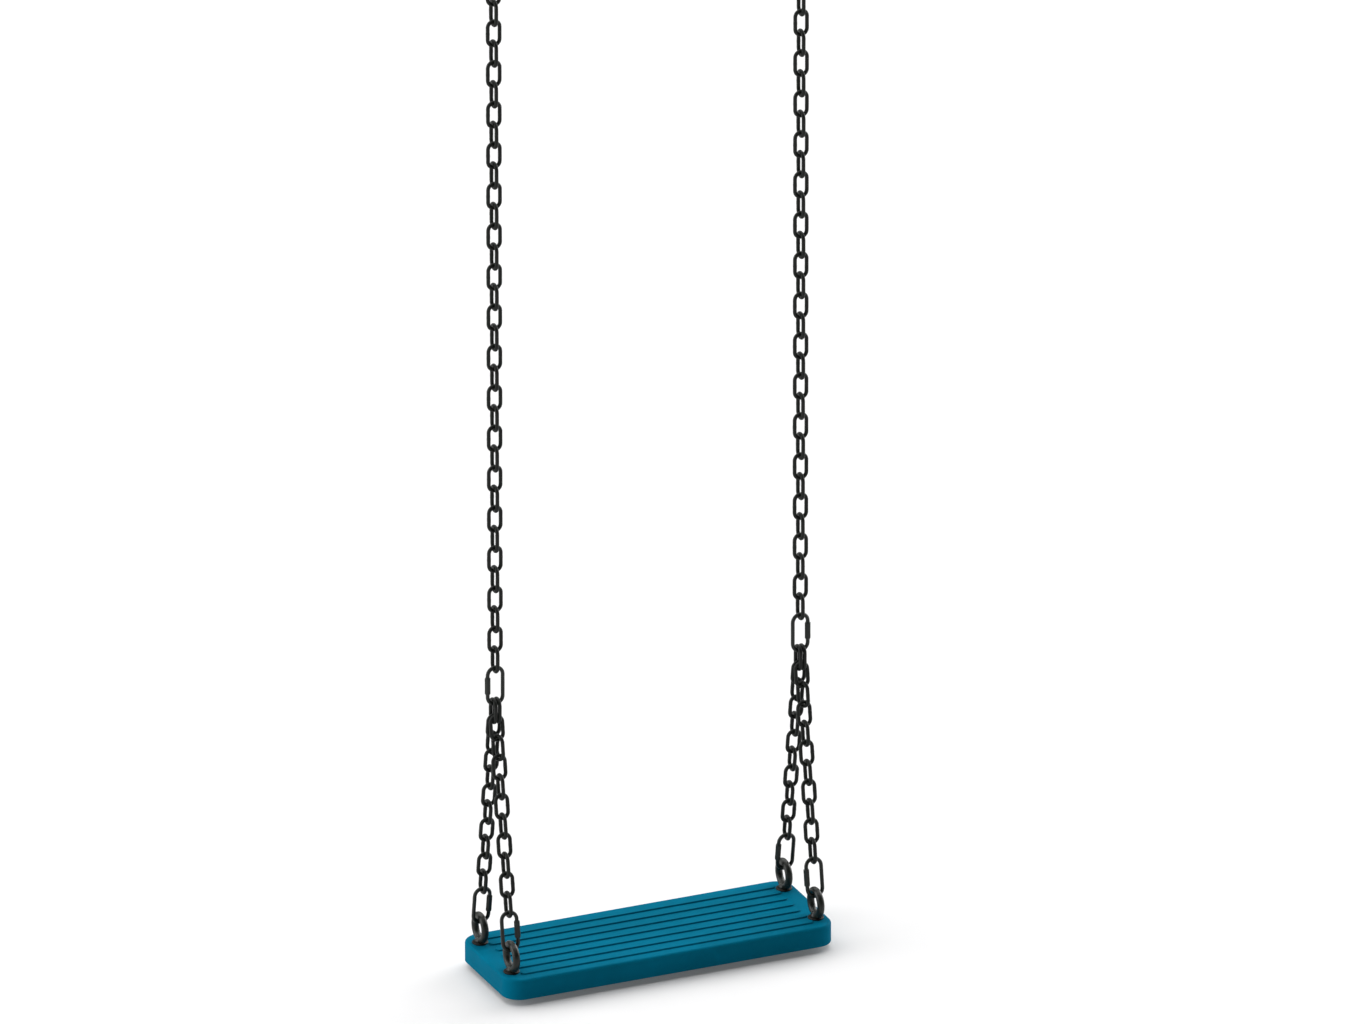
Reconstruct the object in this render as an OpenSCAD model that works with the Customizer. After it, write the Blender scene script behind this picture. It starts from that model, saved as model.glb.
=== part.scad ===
// Swing seat on two chains, hung from two beam brackets.
// Origin: centre of the four beam bolts, on the beam face of the brackets. +Z up, front of the seat at -Y.

/* [Seat] */
// Length of the seat along X
seat_length = 450; // [360:5:600]
// Width of the seat, front to back
seat_width = 159; // [120:1:200]
// Thickness of the moulding without its ribs
seat_thickness = 27.5; // [22:0.5:36]
// Radius of the corners in plan
seat_corner_r = 24; // [12:1:40]
// Rounding of the upper edge
seat_edge_r = 3.5; // [1:0.5:6]
// Number of ribs on the upper face
rib_count = 7; // [3:1:11]
// Width of one rib
rib_width = 10.7; // [6:0.1:14]
// Height of the ribs above the upper face
rib_height = 1.8; // [0.8:0.1:3]
// From the long edge of the seat to the first rib
rib_side_margin = 14.5; // [8:0.5:24]
// From the end of the seat to the end of the ribs
rib_end_margin = 24.4; // [18:0.2:40]
// From the end of the seat to the eye bolts
eye_inset_x = 16.25; // [14:0.25:40]
// From the long edge of the seat to the eye bolts
eye_inset_y = 30; // [20:0.5:50]

/* [Stiffener and fasteners in the seat] */
// Thickness of the steel plate moulded into the seat
stiffener_thickness = 3; // [2:0.5:5]
// From the end of the seat to the end of the plate
stiffener_end_margin = 6; // [4:0.5:10]
// From the long edge of the seat to the edge of the plate
stiffener_side_margin = 14; // [8:0.5:25]
// Depth of the nut pockets in the underside
pocket_depth = 11; // [10.5:0.1:12]
// Diameter of the nut pockets
pocket_d = 26; // [23:0.5:30]
// Diameter of the washers in the pockets
seat_washer_d = 22; // [20:0.5:23]
// Thickness of the washers in the pockets
seat_washer_t = 2; // [1.5:0.1:2.5]
// Width across flats of the lock nuts in the pockets
seat_nut_af = 17; // [16:0.5:18]
// Height of the lock nuts in the pockets
seat_nut_h = 8; // [7:0.1:8.4]

/* [Eye bolts] */
// Outer diameter of the eye ring
eye_outer_d = 41; // [36:0.5:50]
// Diameter of the ring section
eye_section_d = 9.5; // [8:0.1:11]
// Height of the ring centre above the seat
eye_height = 21; // [20:0.5:28]
// Diameter of the shank
eye_shank_d = 10; // [8:0.5:12]
// Diameter of the foot that stands on the collar
eye_foot_d = 14; // [12:0.5:18]
// Diameter of the collar
collar_d = 20.5; // [18:0.5:26]
// Thickness of the collar
collar_t = 2; // [1:0.1:3]

/* [Chain] */
// Diameter of the chain wire
wire_d = 5; // [4:0.1:6]
// Inner length of a main chain link
main_link_inner = 27.45; // [22:0.05:34]
// Number of links in one main chain (odd)
main_link_count = 35; // [5:2:61]
// Inner length of a bridle leg link
leg_link_inner = 25.7; // [20:0.05:32]
// Number of single links in one bridle leg (even)
leg_link_count = 10; // [4:2:16]
// Side play of two wires lying side by side in a link
link_side_play = 1; // [0.8:0.1:2]
// Twist of the third link of each leg, which keeps front and back legs apart
third_link_twist = 25; // [20:1:28]

/* [Quick links] */
// Length of a quick link, top of wire to bottom of wire
quick_length = 54.5; // [46:0.5:70]
// Inner width of a quick link
quick_inner_width = 15.5; // [14:0.1:20]
// Length of the threaded sleeve
sleeve_length = 22; // [16:0.5:24]
// Width of the sleeve across its corners
sleeve_d = 8; // [7.4:0.1:10]
// Height of the sleeve centre above the link centre
sleeve_lift = 1; // [0:0.1:1.5]
// Gate gap hidden by the sleeve
gate_gap = 6; // [4:0.5:8]

/* [Hanger] */
// Size of the bracket plate along X
plate_x = 52; // [48:1:80]
// Size of the bracket plate along Y
plate_y = 110; // [100:1:160]
// Thickness of the bracket plate and its cheeks
plate_t = 6; // [4:0.5:10]
// Spacing of the two beam bolts along Y
beam_bolt_spacing = 80; // [70:1:120]
// Diameter of the beam bolt holes
beam_bolt_hole_d = 11; // [9:0.5:14]
// From the beam face down to the pivot
pivot_drop = 40; // [34:1:60]
// Width of a cheek
cheek_width = 36; // [30:1:44]
// Diameter of the pivot bolt
pivot_d = 12; // [10:0.5:14]
// Outer diameter of the pendulum barrel
barrel_d = 28; // [24:0.5:34]
// Length of the pendulum barrel
barrel_length = 24; // [20:0.5:30]
// From the pivot down to the centre of the pendulum ring
pendulum_length = 60; // [50:1:90]

/* [Hidden] */
$fn = 64;
overlap = 0.5;
rest_gap = 0.15;
moving_gap = 0.3;
running_gap = 0.05;
hex_corner = 2 / sqrt(3);

// Seat
half_l = seat_length / 2;
half_w = seat_width / 2;
chain_x = half_l - eye_inset_x;
eye_y = half_w - eye_inset_y;
seat_bottom_chamfer = 1;
rib_pitch = (seat_width - 2 * rib_side_margin - rib_width) / (rib_count - 1);
rib_half_length = half_l - rib_end_margin;
rib_collar_clearance = 0.8;
stiffener_corner_r = 12;
stiffener_z = -(seat_thickness - pocket_depth) / 2;
eye_hole_d = eye_shank_d + 0.4;
shank_end_margin = 0.5;

// Eye rings
eye_r = (eye_outer_d - eye_section_d) / 2;

// Links
link_r = (3 * wire_d + link_side_play) / 2;
main_pitch = main_link_inner - rest_gap;
leg_pitch = leg_link_inner - rest_gap;
quick_r = (quick_inner_width + wire_d) / 2;
quick_axis_length = quick_length - wire_d;
quick_straight = quick_axis_length - 2 * quick_r;
sleeve_bore_d = wire_d + 2 * running_gap;
sleeve_chamfer = 0.7;

// Hanger
bush_wall = 2;
bush_flange_d = 22;
bush_flange_t = 1.5;
bush_d = pivot_d + 2 * bush_wall;
bush_length = barrel_length / 2 - 1;
cheek_inner_x = barrel_length / 2 + bush_flange_t + moving_gap;
cheek_outer_x = cheek_inner_x + plate_t;
plate_corner_r = 8;
cheek_hole_d = pivot_d + 0.4;
pivot_head_af = 18;
pivot_head_h = 7.5;
pivot_washer_d = 24;
pivot_washer_t = 2.5;
pivot_nut_h = 12;
pivot_nut_crown_h = 3;
pivot_thread_out = 2;
arm_top_d = 14;
arm_bottom_d = 9;

// Heights, from the beam face down to the seat
ring_z = -pivot_drop - pendulum_length;
ring_wire_z = ring_z - eye_r;
top_link_top_z = ring_wire_z + eye_section_d / 2 + wire_d / 2 + moving_gap;
top_link_z = top_link_top_z - quick_axis_length / 2;
chain_top_z = top_link_top_z - quick_axis_length + wire_d + rest_gap;
chain_bottom_z = chain_top_z - (main_link_count * main_pitch + rest_gap + wire_d);
junction_top_z = chain_bottom_z + wire_d + moving_gap;
junction_z = junction_top_z - quick_axis_length / 2;
junction_bottom_z = junction_top_z - quick_axis_length;

// The first link of each leg hangs beside the other one on the junction link
twin_x = (wire_d + link_side_play / 2) / 2;
twin_reach = quick_r - wire_d - moving_gap;
twin_top_z = junction_bottom_z + quick_r - sqrt(twin_reach * twin_reach - twin_x * twin_x);
twin_z = twin_top_z - (leg_link_inner + wire_d) / 2;
twin_arc_z = twin_top_z - (leg_link_inner + wire_d) + link_r;

// The legs run from the twin links to the centres of the eye rings
leg_top_y = wire_d / 2 + rest_gap;
leg_top_z = twin_arc_z + link_r - sqrt(link_r * link_r - twin_x * twin_x);
lower_link_from_top = leg_link_count * leg_pitch + quick_axis_length / 2;
leg_bottom_reach = eye_r - eye_section_d / 2 - wire_d / 2 - rest_gap;
leg_length = leg_link_count * leg_pitch + quick_axis_length + leg_bottom_reach;
leg_lean = asin((eye_y - leg_top_y) / leg_length);
eye_z = leg_top_z - leg_length * cos(leg_lean);
seat_z = eye_z - eye_height;

// ---- shapes used more than once ----

module rounded_plate(x, y, r, t) {
    linear_extrude(t) {
        square([x, y - 2 * r], center = true);
        square([x - 2 * r, y], center = true);
        for (i = [-1, 1], j = [-1, 1])
            translate([i * (x / 2 - r), j * (y / 2 - r)])
                circle(r = r);
    }
}

module hex_prism(across_flats, h) {
    cylinder(d = across_flats * hex_corner, h = h, $fn = 6);
}

// Half of a ring in the XZ plane, on the side that direction gives
module half_ring(r, section_d, direction) {
    rotate([direction * 90, 0, 0])
        rotate_extrude(angle = 180)
            translate([r, 0])
                circle(d = section_d);
}

// One welded link in the XZ plane, centred
module chain_link(inner) {
    straight = inner + wire_d - 2 * link_r;
    for (s = [-1, 1]) {
        translate([s * link_r, 0, -straight / 2])
            cylinder(d = wire_d, h = straight);
        translate([0, 0, s * straight / 2])
            half_ring(link_r, wire_d, s);
    }
}

// A bent wire link in the XZ plane, with its gate gap on the side that gate gives
module quick_link(gate) {
    lower_limb = quick_straight / 2 + sleeve_lift - gate_gap / 2;
    upper_limb = quick_straight / 2 - sleeve_lift - gate_gap / 2;
    translate([-gate * quick_r, 0, -quick_straight / 2])
        cylinder(d = wire_d, h = quick_straight);
    translate([gate * quick_r, 0, -quick_straight / 2])
        cylinder(d = wire_d, h = lower_limb);
    translate([gate * quick_r, 0, quick_straight / 2 - upper_limb])
        cylinder(d = wire_d, h = upper_limb);
    for (s = [-1, 1])
        translate([0, 0, s * quick_straight / 2])
            half_ring(quick_r, wire_d, s);
}

// The six-sided sleeve that closes the gate
module quick_sleeve(gate) {
    r = sleeve_d / 2;
    translate([gate * quick_r, 0, sleeve_lift - sleeve_length / 2])
        difference() {
            intersection() {
                cylinder(r = r, h = sleeve_length, $fn = 6);
                rotate_extrude()
                    polygon([
                        [0, 0], [r - sleeve_chamfer, 0], [r + overlap / 2, sleeve_chamfer * 2],
                        [r + overlap / 2, sleeve_length - sleeve_chamfer * 2],
                        [r - sleeve_chamfer, sleeve_length], [0, sleeve_length]
                    ]);
            }
            translate([0, 0, -overlap])
                cylinder(d = sleeve_bore_d, h = sleeve_length + 2 * overlap);
        }
}

// A ring in the YZ plane, centred
module eye_ring() {
    rotate([0, 90, 0])
        rotate_extrude()
            translate([eye_r, 0])
                circle(d = eye_section_d);
}

// ---- seat ----

module seat_profile(reach) {
    polygon([
        [0, -seat_thickness], [reach - seat_bottom_chamfer, -seat_thickness],
        [reach, -seat_thickness + seat_bottom_chamfer], [reach, -seat_edge_r],
        [reach - seat_edge_r, 0], [0, 0]
    ]);
    translate([reach - seat_edge_r, -seat_edge_r])
        circle(r = seat_edge_r);
}

module seat_half_profile(reach) {
    intersection() {
        seat_profile(reach);
        translate([0, -seat_thickness])
            square([reach, seat_thickness]);
    }
}

module seat_slab() {
    for (i = [-1, 1], j = [-1, 1])
        translate([i * (half_l - seat_corner_r), j * (half_w - seat_corner_r), 0])
            rotate_extrude()
                seat_half_profile(seat_corner_r);
    for (j = [0, 1])
        mirror([0, j, 0])
            translate([seat_corner_r - half_l, 0, 0])
                rotate([90, 0, 90])
                    linear_extrude(2 * (half_l - seat_corner_r))
                        seat_half_profile(half_w);
    for (i = [0, 1])
        mirror([i, 0, 0])
            translate([0, half_w - seat_corner_r, 0])
                rotate([90, 0, 0])
                    linear_extrude(2 * (half_w - seat_corner_r))
                        seat_half_profile(half_l);
}

module rib() {
    translate([0, 0, -overlap])
        linear_extrude(rib_height + overlap) {
            square([2 * rib_half_length - rib_width, rib_width], center = true);
            for (i = [-1, 1])
                translate([i * (rib_half_length - rib_width / 2), 0])
                    circle(d = rib_width);
        }
}

module at_eyes() {
    for (i = [-1, 1], j = [-1, 1])
        translate([i * chain_x, j * eye_y, seat_z])
            children();
}

module stiffener_shape() {
    translate([0, 0, seat_z + stiffener_z - stiffener_thickness / 2])
        rounded_plate(
            seat_length - 2 * stiffener_end_margin, seat_width - 2 * stiffener_side_margin,
            stiffener_corner_r, stiffener_thickness
        );
}

module seat_moulding() {
    color([0.0, 0.44, 0.57])
        difference() {
            union() {
                translate([0, 0, seat_z])
                    seat_slab();
                for (k = [0 : rib_count - 1])
                    translate([0, (k - (rib_count - 1) / 2) * rib_pitch, seat_z])
                        rib();
            }
            stiffener_shape();
            at_eyes() {
                cylinder(d = collar_d + 2 * rib_collar_clearance, h = rib_height + overlap);
                translate([0, 0, -seat_thickness - overlap])
                    cylinder(d = eye_hole_d, h = seat_thickness + 2 * overlap);
                translate([0, 0, -seat_thickness - overlap])
                    cylinder(d = pocket_d, h = pocket_depth + overlap);
            }
        }
}

module seat_stiffener() {
    color([0.55, 0.56, 0.58])
        difference() {
            stiffener_shape();
            at_eyes()
                translate([0, 0, -seat_thickness])
                    cylinder(d = eye_hole_d, h = seat_thickness);
        }
}

module seat_washers() {
    color([0.55, 0.56, 0.58])
        at_eyes()
            translate([0, 0, pocket_depth - seat_thickness - seat_washer_t])
                difference() {
                    cylinder(d = seat_washer_d, h = seat_washer_t);
                    translate([0, 0, -overlap])
                        cylinder(d = eye_hole_d, h = seat_washer_t + 2 * overlap);
                }
}

module seat_lock_nuts() {
    color([0.5, 0.51, 0.53])
        at_eyes()
            translate([0, 0, pocket_depth - seat_thickness - seat_washer_t - seat_nut_h])
                difference() {
                    hex_prism(seat_nut_af, seat_nut_h);
                    translate([0, 0, -overlap])
                        cylinder(d = eye_shank_d, h = seat_nut_h + 2 * overlap);
                }
}

module eye_collars() {
    color([0.17, 0.14, 0.13])
        at_eyes()
            difference() {
                cylinder(d = collar_d, h = collar_t);
                translate([0, 0, -overlap])
                    cylinder(d = eye_hole_d, h = collar_t + 2 * overlap);
            }
}

module eye_bolt(i, j) {
    color([0.2, 0.21, 0.2])
        translate([i * chain_x, j * eye_y, seat_z]) {
            difference() {
                translate([0, 0, eye_height])
                    eye_ring();
                translate([0, 0, -eye_outer_d + collar_t])
                    cylinder(d = 2 * eye_outer_d, h = eye_outer_d);
            }
            translate([0, 0, collar_t])
                cylinder(d = eye_foot_d, h = eye_height - eye_r - collar_t);
            translate([0, 0, shank_end_margin - seat_thickness])
                cylinder(d = eye_shank_d, h = seat_thickness - shank_end_margin + eye_height - eye_r);
        }
}

// ---- bridle legs ----

module in_leg(i, j) {
    translate([i * chain_x, j * leg_top_y, leg_top_z])
        rotate([j * leg_lean, 0, 0])
            children();
}

module leg(i, j) {
    color([0.15, 0.16, 0.14]) {
        translate([i * (chain_x + j * twin_x), 0, twin_z])
            rotate([0, 0, 90])
                chain_link(leg_link_inner);
        in_leg(i, j)
            for (k = [0 : leg_link_count - 1])
                translate([0, 0, -(leg_link_inner + wire_d) / 2 - k * leg_pitch])
                    rotate([0, 0, 90 * (k % 2) + (k == 1 ? third_link_twist : 0)])
                        chain_link(leg_link_inner);
    }
}

module lower_link(i, j) {
    color([0.19, 0.2, 0.18])
        in_leg(i, j)
            translate([0, 0, -lower_link_from_top])
                quick_link(-i);
}

module lower_sleeve(i, j) {
    color([0.19, 0.2, 0.18])
        in_leg(i, j)
            translate([0, 0, -lower_link_from_top])
                quick_sleeve(-i);
}

// ---- junction links, main chains and top links ----

module junction_link(i) {
    color([0.19, 0.2, 0.18])
        translate([i * chain_x, 0, junction_z])
            quick_link(i);
}

module junction_sleeve(i) {
    color([0.19, 0.2, 0.18])
        translate([i * chain_x, 0, junction_z])
            quick_sleeve(i);
}

module main_chain(i) {
    color([0.15, 0.16, 0.14])
        for (k = [0 : main_link_count - 1])
            translate([i * chain_x, 0, chain_bottom_z + (main_link_inner + wire_d) / 2 + k * main_pitch])
                rotate([0, 0, 90 * ((k + 1) % 2)])
                    chain_link(main_link_inner);
}

module top_link(i) {
    color([0.19, 0.2, 0.18])
        translate([i * chain_x, 0, top_link_z])
            quick_link(i);
}

module top_sleeve(i) {
    color([0.19, 0.2, 0.18])
        translate([i * chain_x, 0, top_link_z])
            quick_sleeve(i);
}

// ---- hangers ----

// Children drawn along +Z point outwards, away from the middle of the swing
module at_pivot(i) {
    translate([i * chain_x, 0, -pivot_drop])
        rotate([0, i * 90, 0])
            children();
}

module pendulum(i) {
    color([0.2, 0.21, 0.2]) {
        difference() {
            union() {
                at_pivot(i)
                    cylinder(d = barrel_d, h = barrel_length, center = true);
                translate([i * chain_x, 0, ring_z + eye_r])
                    cylinder(d1 = arm_bottom_d, d2 = arm_top_d, h = pendulum_length - eye_r);
            }
            at_pivot(i)
                cylinder(d = bush_d, h = barrel_length + 2 * overlap, center = true);
        }
        translate([i * chain_x, 0, ring_z])
            eye_ring();
    }
}

module bush() {
    difference() {
        union() {
            translate([0, 0, barrel_length / 2 - bush_length])
                cylinder(d = bush_d, h = bush_length);
            translate([0, 0, barrel_length / 2])
                cylinder(d = bush_flange_d, h = bush_flange_t);
        }
        cylinder(d = pivot_d + 2 * running_gap, h = barrel_length);
    }
}

module bushes(i) {
    color([0.62, 0.48, 0.28])
        at_pivot(i)
            for (s = [0, 1])
                mirror([0, 0, s])
                    bush();
}

module cheek() {
    rotate([90, 0, 90])
        linear_extrude(plate_t)
            difference() {
                union() {
                    translate([-cheek_width / 2, -pivot_drop])
                        square([cheek_width, pivot_drop - plate_t / 2]);
                    translate([0, -pivot_drop])
                        circle(d = cheek_width);
                }
                translate([0, -pivot_drop])
                    circle(d = cheek_hole_d);
            }
}

module bracket(i) {
    color([0.3, 0.31, 0.32])
        translate([i * chain_x, 0, 0]) {
            difference() {
                translate([0, 0, -plate_t])
                    rounded_plate(plate_x, plate_y, plate_corner_r, plate_t);
                for (j = [-1, 1])
                    translate([0, j * beam_bolt_spacing / 2, -plate_t - overlap])
                        cylinder(d = beam_bolt_hole_d, h = plate_t + 2 * overlap);
            }
            for (x = [cheek_inner_x, -cheek_outer_x])
                translate([x, 0, 0])
                    cheek();
        }
}

module pivot_bolt(i) {
    inner_end = cheek_outer_x + pivot_washer_t + pivot_nut_h + pivot_thread_out;
    color([0.6, 0.61, 0.63])
        at_pivot(i) {
            translate([0, 0, cheek_outer_x])
                hex_prism(pivot_head_af, pivot_head_h);
            translate([0, 0, -inner_end])
                cylinder(d = pivot_d, h = inner_end + cheek_outer_x);
        }
}

module pivot_washers() {
    color([0.6, 0.61, 0.63])
        for (i = [-1, 1])
            at_pivot(i)
                translate([0, 0, -cheek_outer_x - pivot_washer_t])
                    difference() {
                        cylinder(d = pivot_washer_d, h = pivot_washer_t);
                        translate([0, 0, -overlap])
                            cylinder(d = cheek_hole_d, h = pivot_washer_t + 2 * overlap);
                    }
}

module pivot_nuts() {
    hex_h = pivot_nut_h - pivot_nut_crown_h;
    color([0.6, 0.61, 0.63])
        for (i = [-1, 1])
            at_pivot(i)
                translate([0, 0, -cheek_outer_x - pivot_washer_t - pivot_nut_h])
                    difference() {
                        union() {
                            cylinder(d = pivot_head_af - 1, h = pivot_nut_h);
                            translate([0, 0, pivot_nut_crown_h])
                                hex_prism(pivot_head_af, hex_h);
                        }
                        translate([0, 0, -overlap])
                            cylinder(d = pivot_d, h = pivot_nut_h + 2 * overlap);
                    }
}

seat_moulding();
seat_stiffener();
seat_washers();
seat_lock_nuts();
eye_collars();
eye_bolt(-1, -1);  // eye_bolt_front_left
eye_bolt(-1, 1);  // eye_bolt_back_left
eye_bolt(1, -1);  // eye_bolt_front_right
eye_bolt(1, 1);  // eye_bolt_back_right
lower_link(-1, -1);  // lower_link_front_left
lower_link(-1, 1);  // lower_link_back_left
lower_link(1, -1);  // lower_link_front_right
lower_link(1, 1);  // lower_link_back_right
lower_sleeve(-1, -1);  // lower_sleeve_front_left
lower_sleeve(-1, 1);  // lower_sleeve_back_left
lower_sleeve(1, -1);  // lower_sleeve_front_right
lower_sleeve(1, 1);  // lower_sleeve_back_right
leg(-1, -1);  // leg_front_left
leg(-1, 1);  // leg_back_left
leg(1, -1);  // leg_front_right
leg(1, 1);  // leg_back_right
junction_link(-1);  // junction_link_left
junction_link(1);  // junction_link_right
junction_sleeve(-1);  // junction_sleeve_left
junction_sleeve(1);  // junction_sleeve_right
main_chain(-1);  // main_chain_left
main_chain(1);  // main_chain_right
top_link(-1);  // top_link_left
top_link(1);  // top_link_right
top_sleeve(-1);  // top_sleeve_left
top_sleeve(1);  // top_sleeve_right
pendulum(-1);  // pendulum_left
pendulum(1);  // pendulum_right
bushes(-1);  // bushes_left
bushes(1);  // bushes_right
bracket(-1);  // bracket_left
bracket(1);  // bracket_right
pivot_bolt(-1);  // pivot_bolt_left
pivot_bolt(1);  // pivot_bolt_right
pivot_washers();
pivot_nuts();
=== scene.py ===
import math

import bmesh
import bpy
from mathutils import Matrix, Vector


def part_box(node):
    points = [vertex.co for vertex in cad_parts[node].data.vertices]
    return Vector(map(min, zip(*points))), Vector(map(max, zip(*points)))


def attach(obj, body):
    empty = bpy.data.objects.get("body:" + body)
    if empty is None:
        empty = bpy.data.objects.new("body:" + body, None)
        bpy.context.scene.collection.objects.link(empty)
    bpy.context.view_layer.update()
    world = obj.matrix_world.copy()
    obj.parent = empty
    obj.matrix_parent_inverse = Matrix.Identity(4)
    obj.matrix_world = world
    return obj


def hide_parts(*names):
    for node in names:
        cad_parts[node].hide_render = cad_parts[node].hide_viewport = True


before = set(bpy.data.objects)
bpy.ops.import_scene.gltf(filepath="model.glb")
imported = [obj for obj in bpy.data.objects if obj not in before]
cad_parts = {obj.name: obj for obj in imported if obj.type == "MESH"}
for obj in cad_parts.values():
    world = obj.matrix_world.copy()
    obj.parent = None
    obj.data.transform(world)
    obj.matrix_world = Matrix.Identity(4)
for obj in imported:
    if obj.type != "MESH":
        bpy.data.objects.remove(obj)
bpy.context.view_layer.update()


# ---- Viewpoint -------------------------------------------------------------
# The swing is seen from its front left and from above, through a very long
# lens, so that its parallel edges stay parallel.

MM = 0.001
RIB_HEIGHT = 1.8 * MM
seat_low, seat_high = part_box("seat_moulding")
seat_top = seat_high.z - RIB_HEIGHT
eyes_middle = Vector((0, 0, seat_top))

TURN = math.radians(-23.75)
RISE = math.radians(23.13)
FRAME_WIDTH = 1.7177
AIM_RIGHT, AIM_UP = 0.0439, 0.5258
back = Vector((math.sin(TURN) * math.cos(RISE), -math.cos(TURN) * math.cos(RISE), math.sin(RISE)))
right = Vector((math.cos(TURN), math.sin(TURN), 0))
up = back.cross(right)
camera_data = bpy.data.cameras.new("long_lens")
camera_data.lens = 900
camera_distance = FRAME_WIDTH * camera_data.lens / camera_data.sensor_width
camera_data.clip_start = 1
camera_data.clip_end = 200
camera = bpy.data.objects.new("camera", camera_data)
bpy.context.scene.collection.objects.link(camera)
aim = eyes_middle + right * AIM_RIGHT + up * AIM_UP
camera.location = aim + back * camera_distance
camera.rotation_mode = "QUATERNION"
camera.rotation_quaternion = back.to_track_quat("Z", "Y")
bpy.context.scene.camera = camera
bpy.context.scene.view_settings.view_transform = "Standard"


# ---- Seat moulding ---------------------------------------------------------
# One slab of blue-teal rubber moulded round a steel plate. The mould gives it
# a rounded upper edge, round corners in plan and seven long grip ribs; four
# pockets underneath take the washers and nuts of the eye bolts.

SEAT_LENGTH = 450 * MM
SEAT_WIDTH = 159 * MM
SEAT_THICKNESS = 27.5 * MM
CORNER_R = 24 * MM
UPPER_EDGE_R = 3.5 * MM
LOWER_EDGE_R = 1 * MM
RIB_COUNT = 7
RIB_WIDTH = 10.7 * MM
RIB_SIDE_MARGIN = 14.5 * MM
RIB_END_MARGIN = 24.4 * MM
RIB_PITCH = (SEAT_WIDTH - 2 * RIB_SIDE_MARGIN - RIB_WIDTH) / (RIB_COUNT - 1)
RIB_HALF_LENGTH = SEAT_LENGTH / 2 - RIB_END_MARGIN
RIB_SHOULDER = 0.8 * MM
POCKET_R = 13 * MM
POCKET_DEPTH = 11 * MM
EYE_HOLE_R = 5.2 * MM
EYE_FROM_END = 16.25 * MM
EYE_FROM_SIDE = 30 * MM
EYE_X = SEAT_LENGTH / 2 - EYE_FROM_END
EYE_Y = SEAT_WIDTH / 2 - EYE_FROM_SIDE


def put(tree, kind, plugs=None, **settings):
    """Adds a node to a shader or geometry tree, wires or sets its inputs, and returns it."""
    made = tree.nodes.new(kind)
    for name, value in settings.items():
        setattr(made, name, value)
    for socket, value in (plugs or {}).items():
        if isinstance(value, bpy.types.NodeSocket):
            tree.links.new(value, made.inputs[socket])
        else:
            made.inputs[socket].default_value = value
    return made


def sums(tree, operation, *values, clamp=False):
    """One Math node; returns its output socket."""
    plugs = dict(enumerate(values))
    return put(tree, "ShaderNodeMath", plugs, operation=operation, use_clamp=clamp).outputs[0]


def ramp(tree, value, low, high, start=0.0, end=1.0, shape="SMOOTHSTEP"):
    """Carries a value from low..high to start..end; returns the output socket."""
    plugs = {0: value, 1: low, 2: high, 3: start, 4: end}
    return put(tree, "ShaderNodeMapRange", plugs, interpolation_type=shape).outputs[0]


def tint(tree, amount, first, second):
    """Blends two colours, each a socket or an RGB triple; returns the colour socket."""
    def rgba(c):
        return c if isinstance(c, bpy.types.NodeSocket) else (*c, 1)
    plugs = {0: amount, 6: rgba(first), 7: rgba(second)}
    return put(tree, "ShaderNodeMix", plugs, data_type="RGBA").outputs[2]


def grain(tree, where, size_mm, detail=3.0, roughness=0.5):
    """A noise field whose blotches are about size_mm across; returns its value socket."""
    plugs = {"Vector": where, "Scale": 1000.0 / size_mm, "Detail": detail, "Roughness": roughness}
    return put(tree, "ShaderNodeTexNoise", plugs).outputs[0]


def new_finish(name):
    """An empty material with its shader, its output and Object coordinates."""
    finish = bpy.data.materials.new(name)
    finish.use_nodes = True
    tree = finish.node_tree
    tree.nodes.clear()
    shader = put(tree, "ShaderNodeBsdfPrincipled")
    put(tree, "ShaderNodeOutputMaterial", {"Surface": shader.outputs[0]})
    where = put(tree, "ShaderNodeTexCoord").outputs["Object"]
    return finish, tree, shader, where


def wire_up(tree, shader, colour, roughness, height, bump_mm, strength=1.0):
    """Wires a colour, a roughness and a relief of bump_mm to the shader."""
    tree.links.new(colour, shader.inputs["Base Color"])
    tree.links.new(roughness, shader.inputs["Roughness"])
    plugs = {"Height": height, "Distance": bump_mm * MM, "Strength": strength}
    bump = put(tree, "ShaderNodeBump", plugs)
    tree.links.new(bump.outputs[0], shader.inputs["Normal"])


def new_piece(name, mesh):
    """Puts a mesh into the scene as an object of its own."""
    piece = bpy.data.objects.new(name, mesh)
    bpy.context.scene.collection.objects.link(piece)
    return piece


def plain_mesh(piece):
    """Turns the modifiers of a piece into its own mesh."""
    layers = bpy.context.evaluated_depsgraph_get()
    made = bpy.data.meshes.new_from_object(piece.evaluated_get(layers), depsgraph=layers)
    old = piece.data
    piece.modifiers.clear()
    piece.data = made
    made.name = piece.name
    if old.users == 0:
        bpy.data.meshes.remove(old)
    return piece


def seat_stations():
    """Where the grid lines of the upper face run: close together over the rib edges."""
    edge = RIB_WIDTH / 2
    steps = [0, 1.2, 2.4, 3.4, 4.1, 4.5]
    steps = [s * MM for s in steps] + [edge - s * MM for s in (0.7, 0.55, 0.4, 0.25, 0.1, -0.12)]
    across = set()
    for k in range(RIB_COUNT):
        middle = (k - (RIB_COUNT - 1) / 2) * RIB_PITCH
        for s in steps:
            across |= {round(middle + s, 7), round(middle - s, 7)}
    end = RIB_HALF_LENGTH
    fine = [7.2, 6.2, 5.4, 4.6, 4.0, 3.4, 2.9, 2.4, 2.0, 1.7, 1.4, 1.15, 0.95, 0.78, 0.62, 0.48]
    fine += [0.34, 0.2, 0.06, -0.1]
    along = {round(s * (end - f * MM), 7) for f in fine for s in (-1, 1)}
    along |= {round(k * 19 * MM, 7) for k in range(-10, 11)}
    return sorted(along), sorted(across)


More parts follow.
